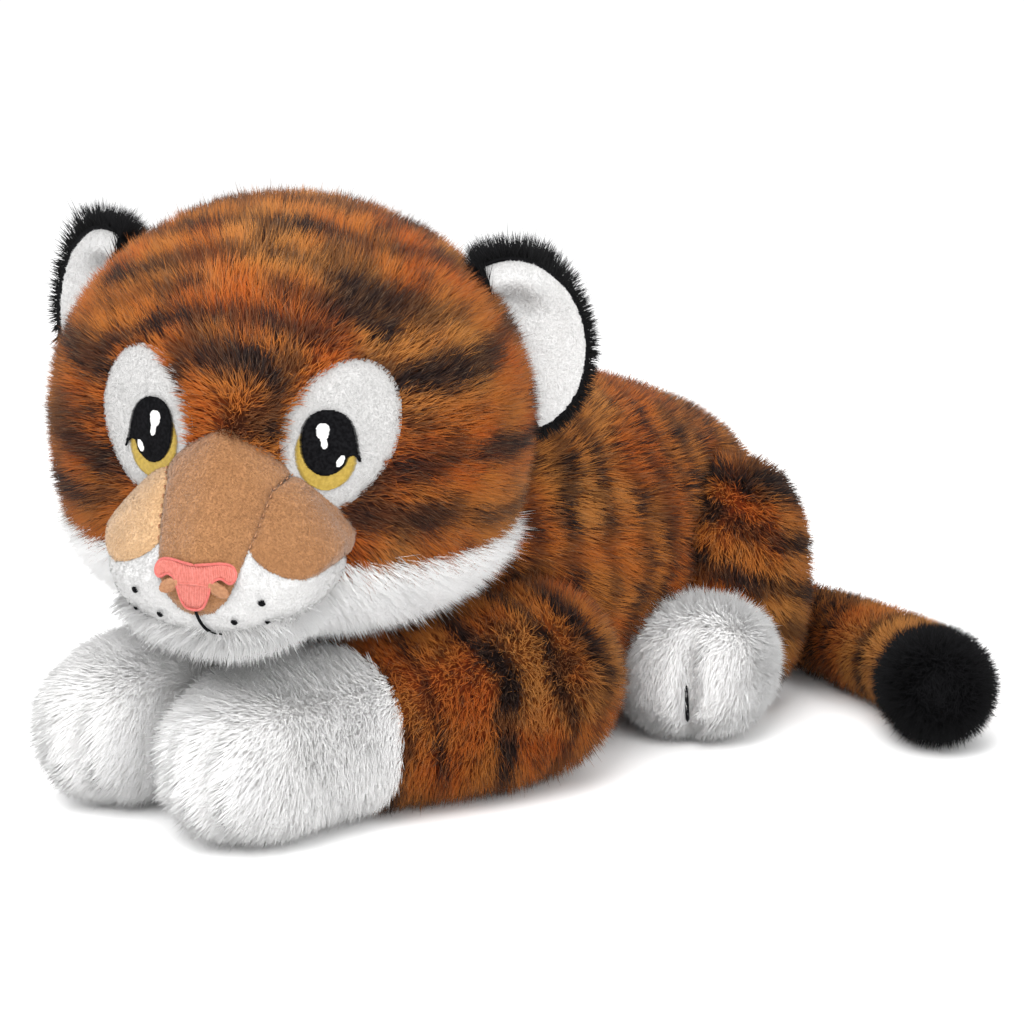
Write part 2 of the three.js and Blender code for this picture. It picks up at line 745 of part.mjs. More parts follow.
function tailForm(inset) {
  const station = (share, girth) => ({
    ...tailPlace(share), radius: girth * share.girth, rise: girth * share.rise,
  });
  const stations = [
    ...tailShares.map((share) => station(share, tailRadius)),
    ...tipShares.map((share) => station(share, tipRadius)),
  ];
  const path = stations.map((s) => new THREE.Vector3(s.x, s.y, s.radius - floorCut + s.rise));
  const girth = stations.map((s) => new THREE.Vector3(s.radius, 0, 0));
  const pathCurve = new THREE.CatmullRomCurve3(path, false, "catmullrom", 0.5);
  const girthCurve = new THREE.CatmullRomCurve3(girth, false, "catmullrom", 0.5);
  const [around, along] = [countFor(tailFacets, inset), countFor(tailSteps, inset)];
  const rings = [];
  for (let i = 0; i <= along; i += 1) {
    const centre = pathCurve.getPoint(i / along);
    const tangent = pathCurve.getTangent(i / along);
    const side = new THREE.Vector3().crossVectors(tangent, alongZ).normalize();
    const up = new THREE.Vector3().crossVectors(side, tangent);
    const radius = Math.max(girthCurve.getPoint(i / along).x - inset, 0);
    if (i === along) centre.addScaledVector(tangent, -inset);
    rings.push(Array.from({ length: around }, (_, k) => {
      const angle = k / around * 2 * Math.PI;
      return centre.clone().addScaledVector(side, radius * Math.cos(angle))
        .addScaledVector(up, radius * Math.sin(angle));
    }));
  }
  return solidOf(ringSkin(rings, around)).add(solidOf(rootBall(tailBase, inset)));
}

function tailPieces() {
  const body = (inset) => tailForm(inset)
    .subtract(torsoForm(-sewnGap - inset * pressedShare).subtract(solidOf(rootBall(tailBase, inset))))
    .subtract(solidOf(rootBall(hipRoot, -sewnGap - inset)));
  const shell = body(0).subtract(body(plushWall)).subtract(belowFloor);
  const direction = new THREE.Vector3(Math.cos(tipSeamTurn), Math.sin(tipSeamTurn), 0);
  const { x, y } = tailPlace(tipSeamShare);
  const seam = (shift) => new THREE.Vector3(x, y, 0).addScaledVector(direction, shift);
  const half = sewnGap / 2;
  return {
    tail_cover: shell.intersect(beyond(seam(-half), direction.clone().negate())),
    tail_tip: shell.intersect(beyond(seam(half), direction)),
    tail_stuffing: body(plushWall + sewnGap),
  };
}

// Finishes

const finish = (color, roughness) => new THREE.MeshStandardMaterial({ color, roughness, metalness: 0 });
const tigerFur = finish(0xa8561c, 0.95);
const whiteFur = finish(0xefece6, 0.95);
const blackFur = finish(0x17161a, 0.95);
const whiteVelour = finish(0xf3f0ec, 0.85);
const tanVelour = finish(0xb07a4c, 0.85);
const pinkSatin = finish(0xf2938c, 0.5);
const brownThread = finish(0x7a4a2c, 0.6);
const blackThread = finish(0x111114, 0.5);
const goldThread = finish(0xa58a34, 0.5);
const whiteThread = finish(0xffffff, 0.5);
const fibre = finish(0xf4f4f2, 1);

const finishes = {
  torso_cover: tigerFur, head_cover: tigerFur, jaw_ruff: whiteFur, muzzle_bridge: tanVelour,
  muzzle_panel: tanVelour, lower_muzzle: whiteVelour, nose: pinkSatin, nostril: brownThread,
  mouth_stitch: blackThread, whisker_dot: blackThread, eye_patch: whiteVelour, eye_pupil: blackThread,
  eye_iris: goldThread, highlight: whiteThread, ear_back: blackFur, ear_lining: whiteVelour,
  front_sleeve: tigerFur, front_paw: whiteFur, haunch: tigerFur, hind_paw: whiteFur,
  toe_stitch: blackThread, tail_cover: tigerFur, tail_tip: blackFur, stuffing: fibre,
};

function named(name, geometry) {
  const key = Object.keys(finishes).find((part) => name.includes(part));
  const mesh = new THREE.Mesh(geometry, finishes[key]);
  mesh.name = name;
  return mesh;
}

// The toy

const tiger = new THREE.Group();

const torso = torsoPieces();
tiger.add(named("torso_cover", geometryOf(torso.cover)));
tiger.add(named("torso_stuffing", geometryOf(torso.stuffing)));

const head = new THREE.Group();
head.position.copy(headFrame.position);
head.rotation.copy(headFrame.rotation);
for (const [name, solid] of Object.entries(headPieces())) head.add(named(name, geometryOf(solid)));
const earSolids = Object.entries(leftEarPieces());
for (const [name, side] of [["left", 1], ["right", -1]]) {
  const ear = new THREE.Group();
  const frame = earFrame(side);
  ear.position.copy(frame.position);
  ear.rotation.copy(frame.rotation);
  for (const [part, solid] of earSolids) {
    const geometry = geometryOf(solid);
    ear.add(named(`${name}_${part}`, side > 0 ? geometry : mirrored(geometry)));
  }
  head.add(ear);
}
tiger.add(head);

const limbs = { ...leftFrontLegPieces(), ...leftHindLegPieces() };
for (const [part, solid] of Object.entries(limbs)) {
  const geometry = geometryOf(solid);
  tiger.add(named(`left_${part}`, geometry));
  tiger.add(named(`right_${part}`, mirrored(geometry)));
}

for (const [name, solid] of Object.entries(tailPieces())) tiger.add(named(name, geometryOf(solid)));

export default tiger;
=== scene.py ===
# %% [markdown]
# # A lying plush tiger
#
# The toy is sewn from long pile fabric, short velour and embroidery, and stuffed with
# loose fibre. This file builds it in the order in which a toy maker would think of it:
# the stuffed forms, the skins on them, the pile that grows from the skins, then the
# velour panels and the embroidered face. All lengths are in millimetres, as on a sewing
# pattern, and become metres when a mesh is made.

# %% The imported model
import math

import bpy
import numpy as np
from mathutils.geometry import delaunay_2d_cdt
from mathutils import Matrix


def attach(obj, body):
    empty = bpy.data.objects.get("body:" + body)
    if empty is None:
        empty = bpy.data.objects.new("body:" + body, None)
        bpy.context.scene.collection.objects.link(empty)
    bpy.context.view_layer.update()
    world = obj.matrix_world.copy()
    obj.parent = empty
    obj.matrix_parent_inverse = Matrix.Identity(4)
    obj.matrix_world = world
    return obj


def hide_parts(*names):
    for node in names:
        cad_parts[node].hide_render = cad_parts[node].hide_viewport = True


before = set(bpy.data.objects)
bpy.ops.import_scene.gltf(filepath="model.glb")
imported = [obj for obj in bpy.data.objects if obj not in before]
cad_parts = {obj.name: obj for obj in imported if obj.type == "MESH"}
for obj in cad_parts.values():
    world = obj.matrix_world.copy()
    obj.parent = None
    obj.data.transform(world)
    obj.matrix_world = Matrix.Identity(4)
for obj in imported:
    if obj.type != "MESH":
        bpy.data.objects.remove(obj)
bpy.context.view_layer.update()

MM = 0.001
print("pieces in the packed model:", len(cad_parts))

# %% [markdown]
# ## The camera
#
# The photograph looks down a little on the toy's left front. The camera comes first,
# because everything after it is judged through it. A long lens far away keeps the
# paws from looking larger than they are.

# %% Camera
def look_in(data, azimuth, elevation, distance, target):
    """Puts a camera or a lamp at a distance from the target and turns it there. Azimuth,
    from the front, and elevation are in degrees."""
    a, e = math.radians(azimuth), math.radians(elevation)
    way = np.array([math.sin(a) * math.cos(e), -math.cos(a) * math.cos(e), math.sin(e)])
    made = bpy.data.objects.new(data.name, data)
    bpy.context.scene.collection.objects.link(made)
    made.location = (np.array(target, float) + way * distance) * MM
    made.rotation_euler = (math.pi / 2 - e, 0, a)
    return made


focal_length_pixels, target_below_centre_pixels, image_pixels = 2640, 78, 1024
camera_data = bpy.data.cameras.new("camera")
camera_data.sensor_width = 36
camera_data.lens = focal_length_pixels / image_pixels * camera_data.sensor_width
camera_data.shift_y = target_below_centre_pixels / image_pixels
camera_data.clip_end = 20
bpy.context.scene.camera = look_in(camera_data, 42, 14, 1100, (14, 0, 60))
print("lens", round(camera_data.lens, 1), "mm")

# %% [markdown]
# ## Smooth lines and rounded rings
#
# A stuffed limb has no corners, but it isn't a sphere either: it swells, tapers and lies
# flat where it is pressed. Two small tools describe that. The first draws a smooth line
# through a few chosen stations. The second bends a circle's sine and cosine, so that a
# ring can be round or nearly square.

# %% Lines and rings
def bent(value, power):
    """The value's sign times its size to the power two over power: at power 2 a circle
    stays a circle, and above 2 it turns into a rounded square."""
    return np.sign(value) * np.abs(value) ** (2.0 / power)


def between(before, start, stop, after, t):
    """The cubic from start to stop, at shares t, whose slope at each of the two is half
    the step between its neighbours."""
    leaving, arriving = (stop - before) / 2, (after - start) / 2
    return (start + leaving * t + (3 * (stop - start) - 2 * leaving - arriving) * t ** 2
            + (2 * (start - stop) + leaving + arriving) * t ** 3)


def drawn_through(stations, share):
    """A smooth line through evenly spaced stations, at shares from 0 to 1."""
    stations = np.asarray(stations, float)
    last = len(stations) - 1
    place = np.clip(share, 0, 1) * last
    start = np.minimum(place.astype(int), last - 1)
    ends = np.vstack([2 * stations[0] - stations[1], stations, 2 * stations[-1] - stations[-2]])
    return between(*(ends[start + k] for k in range(4)), (place - start)[..., None])


def evenly(line, count, closed=True):
    """The line's points moved to even steps along it."""
    place = np.concatenate([[0], np.cumsum(np.linalg.norm(np.diff(line, axis=0), axis=1))])
    steps = np.linspace(0, place[-1], count + 1)[:count] if closed else np.linspace(0, place[-1], count)
    return np.stack([np.interp(steps, place, line[:, k]) for k in range(line.shape[1])], -1)


def smooth_loop(points, count):
    """A closed smooth line through the points, at even steps along it."""
    p = np.array(points, float)
    ring = np.vstack([p[-1:], p, p[:2]])
    t = np.linspace(0, 1, 12, endpoint=False)[:, None]
    line = between(*(ring[k:k + len(p), None] for k in range(4)), t).reshape(-1, 2)
    return evenly(np.vstack([line, line[:1]]), count)


def spread(rows, columns):
    """Even shares around, and shares along that come closer together at both ends."""
    along = 0.5 - 0.5 * np.cos(np.linspace(0, np.pi, rows))
    return np.meshgrid(along, np.arange(columns) / columns, indexing="ij")


def unit(vectors):
    """Each vector divided by its length."""
    return vectors / np.maximum(np.linalg.norm(vectors, axis=-1, keepdims=True), 1e-9)


def eased(value, low, high):
    """0 below low, 1 above high, and a smooth S between them."""
    t = np.clip((value - low) / (high - low), 0, 1)
    return t * t * (3 - 2 * t)


def turn_about_z(angle):
    """The matrix that turns a point about the upright axis."""
    c, s = math.cos(angle), math.sin(angle)
    return np.array([[c, -s, 0], [s, c, 0], [0, 0, 1.0]])


def turn_about_y(angle):
    """The matrix that turns a point about the axis that runs from nose to tail."""
    c, s = math.cos(angle), math.sin(angle)
    return np.array([[c, 0, s], [0, 1.0, 0], [-s, 0, c]])


# %% [markdown]
# ## Places
#
# The head is turned to one side, the ears stand on the head, and the right limbs are the
# left ones seen in a mirror. A place keeps the origin, turn and side of such a piece, and
# takes points out to the toy and back.

# %% Places
class Place:
    """Where a piece's own axes lie: turned, moved, and then mirrored if the side is -1."""

    def __init__(self, origin=(0, 0, 0), turn=np.eye(3), side=1):
        self.origin, self.turn = np.array(origin, float), np.array(turn, float)
        self.mirror = np.array([side, 1.0, 1.0])

    def out(self, points):
        """The piece's own points on the toy: turned, moved by the origin, mirrored."""
        return (points @ self.turn.T + self.origin) * self.mirror

    def out_way(self, ways):
        """The piece's own directions on the toy: turned and mirrored."""
        return (ways @ self.turn.T) * self.mirror

    def into(self, points):
        """The toy's points in the piece's own axes: the three steps undone, last first."""
        return (points * self.mirror - self.origin) @ self.turn


unmoved = Place()
sides = {1: "left", -1: "right"}

# %% [markdown]
# ## Forms
#
# Two kinds of form make most of the toy. One is drawn through sections, as an arm or a
# muzzle is. The other is an upright ball, as a head or a haunch is. Each gives the points
# of its surface, and gauges how far a point lies outside it. The second is what keeps
# pile from growing where two pieces are sewn together.

# %% Forms
class Form:
    """What every form does with its place, its own points and its own gauge."""

    def surface(self, along, around, inset=0.0):
        """The form's points on the toy, an inset below its outside."""
        return self.place.out(self.local(along, around, inset))

    def gap(self, points):
        """Millimetres outside the form, roughly, and negative inside it."""
        size, least = self.gauge(points)
        return (size - 1) * least


class Sections(Form):
    """A form along Y. Each station holds its place, half width, top, underside and
    sideways shift, and the ring there is a rounded box."""

    def __init__(self, stations, power, taper=0.0, place=unmoved):
        self.stations = np.array(stations, float)
        self.power, self.taper, self.place = power, taper, place
        fine = drawn_through(self.stations, np.linspace(0, 1, 400))
        self.table = fine[np.argsort(fine[:, 0])]

    def local(self, along, around, inset=0.0):
        """Half width times the cosine sideways and half height times the sine upwards,
        both bent to the form's power, and narrowed towards the top by the taper."""
        y, half, top, base, shift = np.moveaxis(drawn_through(self.stations, along), -1, 0)
        ends = self.stations[0, 0], self.stations[-1, 0]
        middle, span = (ends[0] + ends[1]) / 2, abs(ends[1] - ends[0]) / 2
        angle = 2 * np.pi * around
        cos, sin = bent(np.cos(angle), self.power), bent(np.sin(angle), self.power)
        out = np.maximum(half - inset, 0) * cos * (1 - self.taper * np.maximum(sin, 0))
        rise = np.maximum((top - base) / 2 - inset, 0)
        deep = middle + (y - middle) * (span - inset) / span
        return np.stack([shift + out, deep, (top + base) / 2 + rise * sin], -1)

    def gauge(self, points):
        """How many times its ring's size away from the ring's middle each point lies,
        and the ring's smaller half size."""
        p = self.place.into(points)
        half, top, base, shift = (
            np.interp(p[..., 1], self.table[:, 0], self.table[:, k], left=0, right=0) for k in range(1, 5)
        )
        half, rise = np.maximum(half, 0.5), np.maximum((top - base) / 2, 0.5)
        up = (p[..., 2] - (top + base) / 2) / rise
        out = (p[..., 0] - shift) / (half * (1 - self.taper * np.clip(up, 0, 1)))
        size = (np.abs(out) ** self.power + np.abs(up) ** self.power) ** (1 / self.power)
        return size, np.minimum(half, rise)


class Ball(Form):
    """An upright ball, round from above, from low to high, squarer with more power."""

    def __init__(self, radius, low, high, low_power=2.0, high_power=2.0, place=unmoved):
        self.radius, self.middle, self.half = radius, (low + high) / 2, (high - low) / 2
        self.low_power, self.high_power, self.place = low_power, high_power, place

    def local(self, along, around, inset=0.0):
        """Along runs from the bottom pole to the top one, and around is the compass."""
        lean = (along - 0.5) * np.pi
        power = np.where(lean < 0, self.low_power, self.high_power)
        out = (self.radius - inset) * bent(np.cos(lean), power)
        up = self.middle + (self.half - inset) * bent(np.sin(lean), power)
        angle = 2 * np.pi * around
        return np.stack([out * np.cos(angle), out * np.sin(angle), up], -1)

    def gauge(self, points):
        """The point's distance from the middle, as a multiple of the ball's size."""
        p = self.place.into(points)
        up = (p[..., 2] - self.middle) / self.half
        power = np.where(up < 0, self.low_power, self.high_power)
        out = np.hypot(p[..., 0], p[..., 1]) / self.radius
        return (out ** power + np.abs(up) ** power) ** (1 / power), min(self.radius, self.half)

    def wrapped(self, points, depth):
        """Points inside the ball, made smaller by depth, move straight out from its
        middle to its surface."""
        p = self.place.into(points) - [0, 0, self.middle]
        size = self.gauge(points)[0] * self.radius / (self.radius - depth)
        p = p / np.clip(size, 1e-6, 1)[..., None]
        return self.place.out(p + [0, 0, self.middle])


# %% [markdown]
# ## The toy's own sizes
#
# These are the sizes of the pattern pieces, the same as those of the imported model. Shares
# run from 0 to 1 of the size that they follow, so a form keeps its shape at any size.

# %% Sizes
torso_length, torso_front, torso_half_width, torso_height = 266, -101, 68, 150
torso_shares = [  # along, half width, top, underside
    (0, 0, .5, .5), (.03, .4, .66, .28), (.08, .66, .8, .1), (.18, .88, .94, 0), (.33, .98, 1, 0),
    (.52, 1, .99, 0), (.68, .97, .92, 0), (.81, .88, .84, 0), (.91, .7, .72, 0),
    (.97, .44, .57, .06), (1, 0, .29, .29),
]
head_centre = np.array([0.0, -109.0, 152.0])
head_turn, head_lean = math.radians(28), math.radians(2.5)
head_radius, head_half_height = 91, 79
ruff_line = -47
face_aside, eyes_aside = 2.2, 5.2
muzzle_back, muzzle_reach, muzzle_half_width, muzzle_top, muzzle_depth = 61, 50, 43, 7, 78.5
muzzle_shares = [
    (0, 0, .45, .45), (.04, .9, .98, .05), (.3, 1, .99, 0), (.52, .98, .9, 0),
    (.72, .87, .72, .03), (.88, .64, .57, .1), (.97, .34, .48, .2), (1, 0, .36, .36),
]
shoulder, shoulder_radius = np.array([60.0, -46.0]), 41
leg_front, leg_length, leg_half_width, leg_height = -207, 180, 33.5, 82
paw_out, elbow_out, cuff_place = 36, 26, -120
leg_shares = [  # along, half width, top, underside, share of the elbow's shift that is gone
    (0, 0, .4, .4, 0), (.05, .68, .76, .1, .02), (.16, 1.02, .97, 0, .08), (.3, 1.06, .94, 0, .28),
    (.42, 1.02, .87, 0, .58), (.53, .99, .82, 0, .86), (.68, 1.02, .81, 0, 1.02),
    (.84, .95, .77, 0, 1.02), (.96, .62, .64, .12, 1), (1, 0, .34, .34, 1),
]
hip, haunch_radius, haunch_height = np.array([55.0, 92.0]), 37, 111
hind_paw_length, hind_paw_half_width, hind_paw_height = 84, 35, 61
hind_paw_turn = math.radians(24)
hind_paw_shares = [
    (0, 0, .45, .45), (.07, .62, .76, .13), (.22, .94, .95, 0), (.42, 1, 1, 0),
    (.66, .92, .96, 0), (.92, .7, .8, .1), (1, 0, .45, .45),
]
tail_root, tail_reach, tail_radius, tip_radius = np.array([9.0, 155.0]), 164, 21.5, 25
tail_shares = [  # out, back, girth as a share of the tail's radius, rise as a share of it
    (-.024, -.018, 0, 1), (.049, .031, .9, 0), (.177, .049, .93, 0), (.329, .012, .97, 0),
    (.482, -.049, 1, 0), (.628, -.11, 1.02, 0), (.738, -.171, 1.05, 0),
]
tip_shares = [(.835, -.25, .93, 0), (.915, -.329, 1, 0), (.976, -.409, .72, .25), (1, -.445, 0, 1)]
ear_half_length, ear_reach, ear_depth, ear_up = 38, 32, 17, 25.5
ear_aside = {1: -4.0, -1: 2.5}
ear_behind, ear_sweep, ear_tilt = math.radians(14), math.radians(34), math.radians(-22)


# %% The stuffed forms
def stations_of(shares, front, length, half_width, height):
    """Stations from shares: the place, half width, top and underside, in millimetres."""
    return [(front + length * s[0], half_width * s[1], height * s[2], height * s[3], 0) for s in shares]


torso = Sections(stations_of(torso_shares, torso_front, torso_length, torso_half_width, torso_height), 2.4)
head_place = Place(head_centre, turn_about_z(head_turn) @ turn_about_y(head_lean))
head_low_power, head_high_power = 2.9, 1.95
head = Ball(head_radius, -head_half_height, head_half_height, head_low_power, head_high_power, head_place)
muzzle = Sections([
    (-(muzzle_back + muzzle_reach * along), muzzle_half_width * half,
     muzzle_top - muzzle_depth * (1 - top), muzzle_top - muzzle_depth * (1 - base), face_aside)
    for along, half, top, base in muzzle_shares
], 2.0, 0.62, head_place)


def arm_of(side):
    """The whole front leg as one form through its sections."""
    return Sections([
        (leg_front + leg_length * (1 - along), leg_half_width * half, leg_height * top,
         leg_height * base, paw_out + elbow_out * (1 - shift))
        for along, half, top, base, shift in leg_shares
    ], 2.4, 0.0, Place(side=side))


def hind_paw_of(side):
    """The hind paw, drawn in its own axes at the hip and turned outwards."""
    stations = stations_of(hind_paw_shares, -hind_paw_length, hind_paw_length, hind_paw_half_width,
                           hind_paw_height)
    return Sections(stations, 2.4, 0.0, Place((*hip, 0), turn_about_z(hind_paw_turn), side))


def root_ball(centre, radius, height, power, side=1):
    """The round root of a limb, on which it turns."""
    return Ball(radius, 0, height, power, power, Place((*centre, 0), side=side))


arms = {side: arm_of(side) for side in sides}
shoulders = {side: root_ball(shoulder, shoulder_radius, 2 * shoulder_radius, 2, side) for side in sides}
haunches = {side: root_ball(hip, haunch_radius, haunch_height, 2.4, side) for side in sides}
hind_paws = {side: hind_paw_of(side) for side in sides}
print("stuffed forms made; the head's middle is at", head_centre)


class Swept:
    """A form with round rings, square to a line that bends over the floor, as a tail is."""

    def __init__(self, stations, steps=300):
        self.stations = np.array(stations, float)
        self.shares = np.linspace(0, 1, steps)
        self.table = drawn_through(self.stations, self.shares)

    def ring_frame(self, along):
        """The line's point and girth, its direction, and the ring's sideways and upward ways."""
        spot = drawn_through(self.stations, along)
        ahead = drawn_through(self.stations, np.minimum(along + 0.002, 1))
        behind = drawn_through(self.stations, np.maximum(along - 0.002, 0))
        way = unit(ahead[..., :3] - behind[..., :3])
        side = unit(np.cross(way, [0.0, 0.0, 1.0]))
        return spot, way, side, np.cross(side, way)

    def surface(self, along, around, inset=0.0):
        """The line's point plus the girth times cosine sideways and sine upwards."""
        spot, way, side, up = self.ring_frame(along)
        girth = np.maximum(spot[..., 3:] - inset, 0)
        angle = (2 * np.pi * around)[..., None]
        end = np.where(np.asarray(along)[..., None] > 0.999, inset, 0)
        return spot[..., :3] - way * end + girth * (side * np.cos(angle) + up * np.sin(angle))

    def nearest(self, points, chunk=20000):
        """The share along the line that is nearest to each point, worked out in chunks."""
        flat = points.reshape(-1, 3)
        best = np.zeros(len(flat), int)
        for start in range(0, len(flat), chunk):
            part = flat[start:start + chunk, None, :] - self.table[None, :, :3]
            best[start:start + chunk] = np.argmin(np.einsum("ijk,ijk->ij", part, part), axis=1)
        return (best / (len(self.table) - 1.0)).reshape(points.shape[:-1])


def tail_stations():
    """Every station's point and girth, the tail's first and then its black end's."""
    rows = []
    for shares, girth in ((tail_shares, tail_radius), (tip_shares, tip_radius)):
        for out, back, share, rise in shares:
            x, y = tail_root + tail_reach * np.array([out, back])
            rows.append((x, y, girth * share - 0.5 + girth * rise, girth * share))
    return rows


tail = Swept(tail_stations())
tail_ball = root_ball(tail_root, 21, 42, 2)

# %% [markdown]
# ## Skins
#
# Each stuffed piece gets a closed skin a few millimetres below the pile's outside. The
# skins could be left to pass through one another where they are sewn, but a real one is
# pressed in by its neighbour. So the torso's skin is pushed in by the head, the
# shoulders, the haunches and the tail, and the leg's skin is stretched over its ball.

# %% Skin tools
PILE = 6.5


class Skin:
    """A grid of points and of its outward directions, which are the cross products of its
    steps along and around. In a closed grid the columns join up, and the first and last
    rows are poles that take the next row's mean direction."""

    def __init__(self, points, closed=True):
        along = np.gradient(points, axis=0)
        if closed:
            ways = unit(np.cross(np.roll(points, -1, axis=1) - np.roll(points, 1, axis=1), along))
            ways[0], ways[-1] = unit(ways[1].mean(0)), unit(ways[-2].mean(0))
        else:
            ways = unit(np.cross(np.gradient(points, axis=1), along))
        away = points - points.mean((0, 1))
        self.points, self.ways = points, ways * (1 if (ways * away).sum() > 0 else -1)


def pushed_in(points, ball, axis, way):
    """Points inside the ball move along one axis to the ball's near side. There the
    ball's own rounded equation gives how wide it is at the point's height."""
    p = ball.place.into(points)
    up = np.abs((p[..., 2] - ball.middle) / ball.half)
    power = np.where(p[..., 2] < ball.middle, ball.low_power, ball.high_power)
    reach = ball.radius * np.maximum(1 - np.minimum(up, 1) ** power, 0) ** (1 / power)
    moved = p.copy()
    moved[..., axis] = way * np.sqrt(np.maximum(reach ** 2 - p[..., 1 - axis] ** 2, 0))
    inside = (ball.gap(points) < 0)[..., None]
    return np.where(inside, ball.place.out(moved), points)


def add_mesh(name, points, fours=None, threes=None):
    """A smooth mesh object from arrays: points in millimetres, and its faces' corners."""
    fours, threes = (np.zeros((0, n), np.int32) if f is None else f for n, f in ((4, fours), (3, threes)))
    mesh = bpy.data.meshes.new(name)
    mesh.vertices.add(len(points))
    mesh.vertices.foreach_set("co", (points * MM).astype(np.float32).ravel())
    corners = np.concatenate([fours.ravel(), threes.ravel()]).astype(np.int32)
    sizes = np.concatenate([np.full(len(fours), 4), np.full(len(threes), 3)])
    mesh.loops.add(len(corners))
    mesh.loops.foreach_set("vertex_index", corners)
    mesh.polygons.add(len(sizes))
    mesh.polygons.foreach_set("loop_start", np.concatenate([[0], np.cumsum(sizes)[:-1]]).astype(np.int32))
    mesh.polygons.foreach_set("use_smooth", np.ones(len(sizes), bool))
    mesh.update(calc_edges=True)
    made = bpy.data.objects.new(name, mesh)
    bpy.context.scene.collection.objects.link(made)
    return made


def tube_faces(rows, columns):
    """Quads between rows of points that run round and join up, and a fan at each end to
    a pole. The poles come after all the rows."""
    index = np.arange(rows * columns).reshape(rows, columns)
    nxt = np.roll(index, -1, axis=1)
    quads = np.stack([index[:-1], nxt[:-1], nxt[1:], index[1:]], -1).reshape(-1, 4)
    pole = np.full(columns, rows * columns)
    caps = [np.stack([pole, nxt[0], index[0]], -1), np.stack([pole + 1, index[-1], nxt[-1]], -1)]
    return quads, np.concatenate(caps)


def closed_grid(points):
    """Points and faces of a skin: one point for each pole, and quads between the rows."""
    rows, columns = points.shape[:2]
    poles = np.stack([points[0].mean(0), points[-1].mean(0)])
    return np.concatenate([points[1:-1].reshape(-1, 3), poles]), *tube_faces(rows - 2, columns)


def set_attribute(thing, name, kind, values):
    """Writes one value for each point of the mesh."""
    attribute = thing.data.attributes.new(name, kind, "POINT")
    field = {"FLOAT_COLOR": "color", "FLOAT_VECTOR": "vector"}[kind]
    attribute.data.foreach_set(field, np.asarray(values, np.float32).ravel())


def face_outwards(thing):
    """Turns the faces over if the closed mesh holds a negative volume."""
    mesh = thing.data
    mesh.calc_loop_triangles()
    corners = np.empty(len(mesh.loop_triangles) * 3, np.int32)
    mesh.loop_triangles.foreach_get("vertices", corners)
    co = np.empty(len(mesh.vertices) * 3, np.float32)
    mesh.vertices.foreach_get("co", co)
    a, b, c = co.reshape(-1, 3)[corners.reshape(-1, 3)].astype(float).transpose(1, 0, 2)
    if np.einsum("ij,ij->", a, np.cross(b, c)) < 0:
        mesh.flip_normals()


def sewn_on(made, body, fabric, nodes=()):
    """Gives a piece its material and body, and hides the nodes that it stands for."""
    slot_name, material = fabric
    made.data.materials.append(material)
    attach(made, body)
    if nodes:
        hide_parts(*nodes)
    return made


# %% The toy's skins
fine = 1.0
rows_many, columns_many = 96, 112
front_toes = (paw_out - 9, paw_out + 9)
hind_toe = 3.0


def creased(points, place, lines, front, depth, half):
    """Soft dents up the front of a paw, one along each toe line: the points move back
    by the depth, less and less with the square of their distance from the line."""
    p = place.into(points)
    dent = sum(np.exp(-((p[..., 0] - line) / half) ** 2) for line in lines)
    p[..., 1] += depth * dent * eased(front - p[..., 1], 0, 16) * eased(-p[..., 2], -64, -40)
    return place.out(p)


def torso_skin():
    """The torso, with hollows where the head, the four legs and the tail lie against it."""
    points = torso.surface(*spread(rows_many, columns_many), PILE)
    hollow = Ball(head_radius + 1 - PILE, -head_half_height - 1 + PILE, head_half_height + 1 - PILE,
                  head_low_power, 2.2, head_place)
    size = hollow.gauge(points)[0][..., None]
    middle = head_place.out(np.zeros(3))
    points = np.where(size < 1, middle + (points - middle) / np.maximum(size, 0.2), points)
    for side in sides:
        points = pushed_in(points, shoulders[side], 0, -1)
        points = pushed_in(points, haunches[side], 0, -1)
    return Skin(pushed_in(points, tail_ball, 1, -1))


def leg_skin(side):
    """The arm's form, with the part inside the shoulder's ball moved out to the ball."""
    points = arms[side].surface(*spread(rows_many, 128), PILE)
    points = creased(points, arms[side].place, front_toes, -172, 5.0, 3.6)
    return Skin(shoulders[side].wrapped(points, PILE))


def paw_skin(side):
    """The hind paw, with the dent of its one toe line."""
    points = hind_paws[side].surface(*spread(64, 72), PILE)
    return Skin(creased(points, hind_paws[side].place, (hind_toe,), -56, 6.0, 4.2))


socket_out, socket_half, socket_depth = 31, (26, 31), 6.5


def socket(points):
    """How deep the face is drawn in at a point in the head's axes: two soft hollows
    round the eyes, deepest beside the nose."""
    deep = np.zeros(points.shape[:-1])
    for side in sides:
        across = (points[..., 0] - side * socket_out - eyes_aside) / socket_half[0]
        up = points[..., 2] / socket_half[1]
        deep = np.maximum(deep, socket_depth * np.exp(-(across ** 2 + up ** 2) ** 1.5))
    return deep * (points[..., 1] < 0)


def head_skin():
    """The head's ball, with the hollows of the eyes."""
    points = head.local(*spread(rows_many, columns_many), PILE)
    return Skin(head_place.out(points * (1 - socket(points) / head_radius)[..., None]))


torso_roots = torso_skin()
head_roots = head_skin()
leg_roots = {side: leg_skin(side) for side in sides}
haunch_roots = {side: Skin(haunches[side].surface(*spread(rows_many, columns_many), PILE)) for side in sides}
hind_paw_roots = {side: paw_skin(side) for side in sides}
tail_roots = Skin(tail.surface(*spread(120, 56), PILE))
for label, skin in (("torso", torso_roots), ("head", head_roots), ("leg", leg_roots[1]),
                    ("haunch", haunch_roots[1]), ("hind paw", hind_paw_roots[1]), ("tail", tail_roots)):
    print(label, "spans", skin.points.min((0, 1)).round(), skin.points.max((0, 1)).round())

# %% [markdown]
# ## Stripes
#
# The stripes could be painted as a picture, but each hair has one colour, so it is enough
# to know how dark the fabric is where the hair is rooted. Stripes are strokes, hoops or
# bands, bent by slow noise, and each is cut off with a soft edge.

